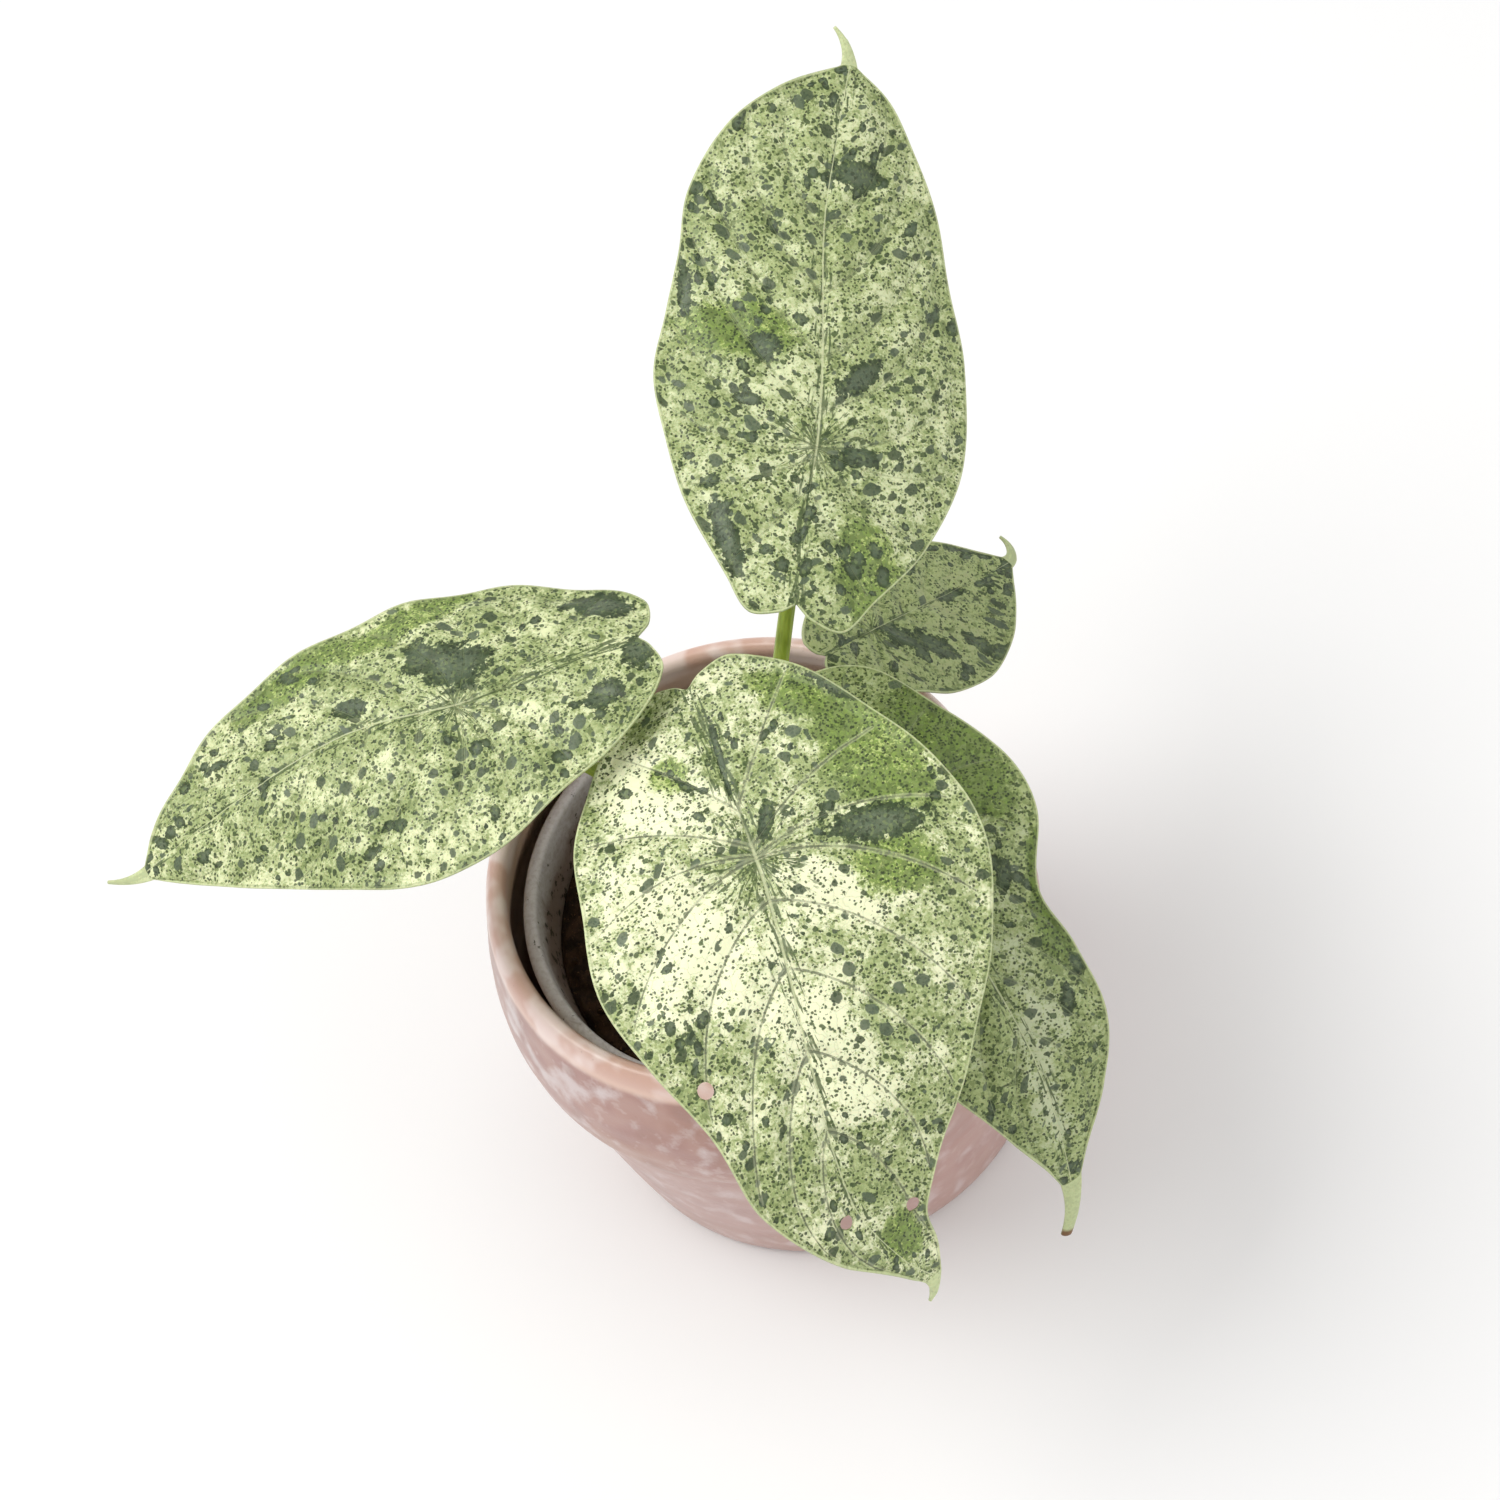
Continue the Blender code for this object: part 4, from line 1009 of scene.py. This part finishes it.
def make_grains(name, count, low, high, seed, finish):
    """Loose grains: balls of 8 x 6 facets, pushed in and out by random shares, lying on
    the mix; all in one mesh. Few lie near the stalks and none among them."""
    random = np.random.default_rng(seed)
    around, up = 8, 5
    rim, few, none = 48, 14, 5
    a = round_angles(around)
    b = np.linspace(-math.pi / 2, math.pi / 2, up + 2)[1:-1, None]
    ball = np.concatenate([ring(np.cos(b), a, np.sin(b)).reshape(-1, 3), [[0, 0, -1], [0, 0, 1]]])
    spots = []
    while len(spots) < count:
        x, y = random.uniform(-rim, rim, 2)
        far = math.hypot(x, y)
        if few < far < rim or (none < far < rim and random.random() < 0.2):
            spots.append((x, y))
    points, faces = [], []
    for n, (x, y) in enumerate(spots):
        size = random.uniform(low, high)
        rough = ball * (1 + random.uniform(-0.22, 0.22, (len(ball), 1))) * random.uniform(0.7, 1.2, 3) * size
        points.append(rough + (x, y, soil_height(x, y) + 0.25 * size - 0.2))
        faces += [[i + n * len(ball) for i in face] for face in tube_faces(up, around)]
    new_piece(name, np.concatenate(points), faces, finish)


# Pots
def glaze_finish():
    """Pink and mauve glaze with soft whitish blotches and small flakes, paler and warmer
    on the lip with painted highlight flecks there, lighter below the step though partly
    toned down by painted shade, and painted light inside: a pale peach over the shaded wall."""
    f = Finish("mottled_glaze", 0.34, Specular_IOR_Level=0.5, Coat_Weight=0.25, Coat_Roughness=0.22)
    x, y, up = f.parts(f.place, "XYZ")
    drift = f.noise(28, 2.0, 0.5)
    cloud = f.noise(95, 2.0, 0.45)
    bloom = f.noise(130, 1.0, 0.4)
    pores = f.noise(900, 2.0, 0.6)
    colour = f.mix(f.step(drift, 0.38, 0.62), rgb(174, 130, 112), rgb(171, 128, 120))
    colour = f.lay(colour, rgb(188, 149, 137), f.step(cloud, 0.40, 0.66), 0.6)
    flakes = f.noise(330, 2.0, 0.5)
    blooming = f.step(f.sum(bloom, (pores, 0.15)), 0.58, 0.84)
    colour = f.lay(colour, rgb(218, 203, 202), blooming, 0.85)
    colour = f.lay(colour, rgb(212, 190, 186), f.step(flakes, 0.56, 0.70), 0.30)
    colour = f.lay(colour, rgb(160, 121, 110), f.step(cloud, 0.46, 0.30), 0.5)
    # below the step: the foot's paler pink glaze, taken part of the way down to a painted shade
    lower = f.step(up, 0.067, 0.060)
    colour = f.lay(colour, rgb(188, 152, 146), lower, 0.40)
    # the inner wall above the nursery pot: painted light, a pale peach that brightens this shaded wall
    radius = f.times(f.times(f.times(x, 2.0, "POWER"), f.times(y, 2.0, "POWER"), "ADD"), 0.5, "POWER")
    inside = f.times(f.step(radius, 0.0637, 0.0630), f.step(up, 0.1080, 0.1050))
    inside = f.times(inside, f.step(up, 0.070, 0.076))
    colour = f.lay(colour, rgb(240, 208, 188), inside, 0.85)
    # lip: paler, warmer glaze, with pale flecks in it that are painted highlights
    lip = f.times(f.step(f.sum(up, (cloud, 0.004)), 0.1035, 0.1085), 0.85)
    colour = f.mix(lip, colour, f.mix(f.step(cloud, 0.44, 0.62), rgb(222, 182, 166), rgb(246, 224, 217)))
    colour = f.lay(colour, rgb(150, 116, 108), f.step(pores, 0.70, 0.76), 0.25)
    f.colour(colour)
    f.bump(f.sum((cloud, 0.6), (pores, 0.25), (bloom, 0.3)), 0.0004, 0.6)
    return f.material


def make_pot(finish):
    """Cover pot: the solid's profile, smoothed by a cubic through its points, with the
    ripple of a thrown pot, r += 0.10 sin(3a + 0.05z) + 0.06 sin(0.9z) - 0.10, which
    fades out at the foot and at the lip."""
    outside = [(54, 0), (57.2, 0.7), (58.7, 3.0), (59.8, 10), (61.2, 22), (63.4, 44), (64.8, 58),
               (65.15, 63.6), (65.5, 65.4)]
    band = [(66.2, 66.2), (67.1, 67.0), (67.8, 68.6), (68.3, 72), (68.5, 78), (67.9, 84.5), (66.5, 92),
            (64.6, 99.5), (63.2, 105), (62.2, 108), (60.9, 109.6), (59.5, 110), (58.3, 109.5),
            (57.5, 107.9), (57.8, 104.5), (60.0, 95), (63.1, 84), (62.9, 74), (61.2, 64), (58.8, 40),
            (55.6, 12), (52.5, 6.7), (48.2, 5.6)]
    profile = [(0, 0.0), (30, 0.0), *smooth_curve(outside, np.linspace(0, 1, 44)).tolist(),
               *smooth_curve(band, np.linspace(0, 1, 150)).tolist(), (30, 5.5), (0, 5.5)]

    def ripple(angle, height):
        body = held((height - 1.5) / 6) * held((109 - height) / 4)
        return body * (0.10 * np.sin(3 * angle + 0.05 * height) - 0.10 + 0.06 * np.sin(0.9 * height))

    turned("glazed_pot", profile, 160, finish, ["cover_pot"], ripple)


def plastic_finish():
    """Off-white plastic, dusty grey, smeared with soil inside and towards the mix."""
    f = Finish("dusty_white_plastic", 0.5, Specular_IOR_Level=0.4)
    up = f.parts(f.place, "XYZ")[2]
    smear = f.noise(110, 4.0, 0.65, distort=0.5)
    crumbs = f.noise(420, 3.0, 0.6)
    dust = f.noise(900, 2.0, 0.6)
    colour = f.mix(f.step(dust, 0.4, 0.7), rgb(222, 214, 220), rgb(206, 196, 200))
    low = f.step(f.sum(up, (smear, 0.016)), 0.1040, 0.0950)
    colour = f.lay(colour, rgb(112, 80, 62), low, 0.80)
    specks = f.step(f.sum(crumbs, (low, 0.10)), 0.66, 0.72)
    colour = f.lay(colour, rgb(46, 32, 24), specks, 0.9)
    colour = f.lay(colour, rgb(134, 116, 98), f.step(smear, 0.60, 0.72), 0.35)
    f.colour(colour)
    f.bump(f.sum((dust, 0.3), (crumbs, 0.4)), 0.0002, 0.5)
    return f.material


def make_liner(finish):
    """Nursery pot: thin tapered wall with a flat lip turned down at its rounded edge."""
    wall = liner_inner_radius
    profile = [(0, 5.8), (30, 5.8), (42.6, 5.8), (44.1, 6.3), (44.6, 7.4), (wall(20) + 1.2, 20),
               (wall(45) + 1.2, 45), (wall(70) + 1.2, 70), (wall(91) + 1.2, 91), (wall(93) + 1.25, 93.4),
               (54.4, 94.9), (55.0, 95.3), (55.15, 94.6), (55.1, 91.1), (55.4, 90.9), (56.2, 91.0),
               (56.35, 91.4), (56.4, 95.7), (56.15, 96.5), (55.5, 96.95), (54.5, 97.0), (53.6, 96.95),
               (53.05, 96.6), (wall(95.4), 95.4), (wall(88), 88), (wall(80), 80), (wall(45), 45),
               (wall(12), 12), (wall(9), 8.4), (41.4, 7.2), (30, 7.0), (0, 7.0)]
    turned("inner_pot", profile, 144, finish, ["nursery_pot"])


# Stage, light, camera
def make_stage():
    """Plain pale floor, 6 m square."""
    mesh = bpy.data.meshes.new("floor")
    mesh.from_pydata([(x, y, FLOOR_Z) for x, y in ((-3, -3), (3, -3), (3, 3), (-3, 3))], [], [(0, 1, 2, 3)])
    floor = placed("floor", mesh)
    f = Finish("pale_floor", 0.9, Specular_IOR_Level=0.1)
    f.colour(rgb(243, 243, 243))
    mesh.materials.append(f.material)


def soft_light(name, place, target, size, power, colour=(1, 1, 1)):
    """Round area light at a place, its -Z towards the target."""
    light = bpy.data.lights.new(name, "AREA")
    light.shape = "DISK"
    light.size = size
    light.energy = power
    light.color = colour
    lamp = placed(name, light)
    z = unit(np.subtract(place, target))
    x = unit(np.cross((0.0, 1.0, 0.1), z))
    y = np.cross(z, x)
    lamp.matrix_world = Matrix([[x[i], y[i], z[i], place[i]] for i in range(3)] + [[0, 0, 0, 1]])


def make_light():
    """White surroundings, a soft key light and a weaker fill."""
    world = bpy.data.worlds.new("studio")
    world.use_nodes = True
    back = world.node_tree.nodes["Background"]
    back.inputs["Color"].default_value = (1.0, 1.0, 1.0, 1.0)
    back.inputs["Strength"].default_value = 0.72
    bpy.context.scene.world = world
    soft_light("key", (-0.55, 0.25, 1.25), (0, 0, 0.1), 0.9, 9.5, (1.0, 0.99, 0.97))
    soft_light("fill", (0.9, -0.7, 0.9), (0, 0, 0.1), 1.1, 3.4)


def make_view():
    """Plain display of the colours, without a film curve."""
    view = bpy.context.scene.view_settings
    view.view_transform = "Standard"
    view.look = "None"
    view.exposure, view.gamma = 0.0, 1.0


def make_camera():
    """Camera axes from its tilt and roll: columns are right, up and back."""
    down, roll = math.radians(CAMERA_DOWN), math.radians(CAMERA_ROLL)
    right0 = np.array([1.0, 0.0, 0.0])
    below0 = np.array([0.0, -math.sin(down), -math.cos(down)])
    forward = np.array([0.0, math.cos(down), -math.sin(down)])
    right = math.cos(roll) * right0 - math.sin(roll) * below0
    below = math.sin(roll) * right0 + math.cos(roll) * below0
    data = bpy.data.cameras.new("camera")
    data.lens = CAMERA_LENS
    data.sensor_width = 36.0
    data.clip_start, data.clip_end = 0.05, 20.0
    camera = placed("camera", data)
    columns = [right, -below, -forward]
    camera.matrix_world = Matrix(
        [[columns[c][i] for c in range(3)] + [CAMERA_PLACE[i] * MM] for i in range(3)] + [[0, 0, 0, 1]])
    bpy.context.scene.camera = camera


make_camera()
make_view()
make_light()
make_stage()
make_pot(glaze_finish())
make_liner(plastic_finish())
mix = soil_finish()
make_soil(mix)
make_grains("loose_crumbs", 150, 0.5, 1.3, 21, mix)
perlite = Finish("perlite", 0.85, Specular_IOR_Level=0.3)
perlite.colour(perlite.mix(perlite.noise(900, 2.0), rgb(236, 232, 224), rgb(200, 190, 176)))
make_grains("perlite", 34, 0.6, 1.25, 8, perlite.material)
skin = stalk_finish()
for leaf_name in LEAVES:
    make_stalk(leaf_name, skin)
    make_leaf(leaf_name)
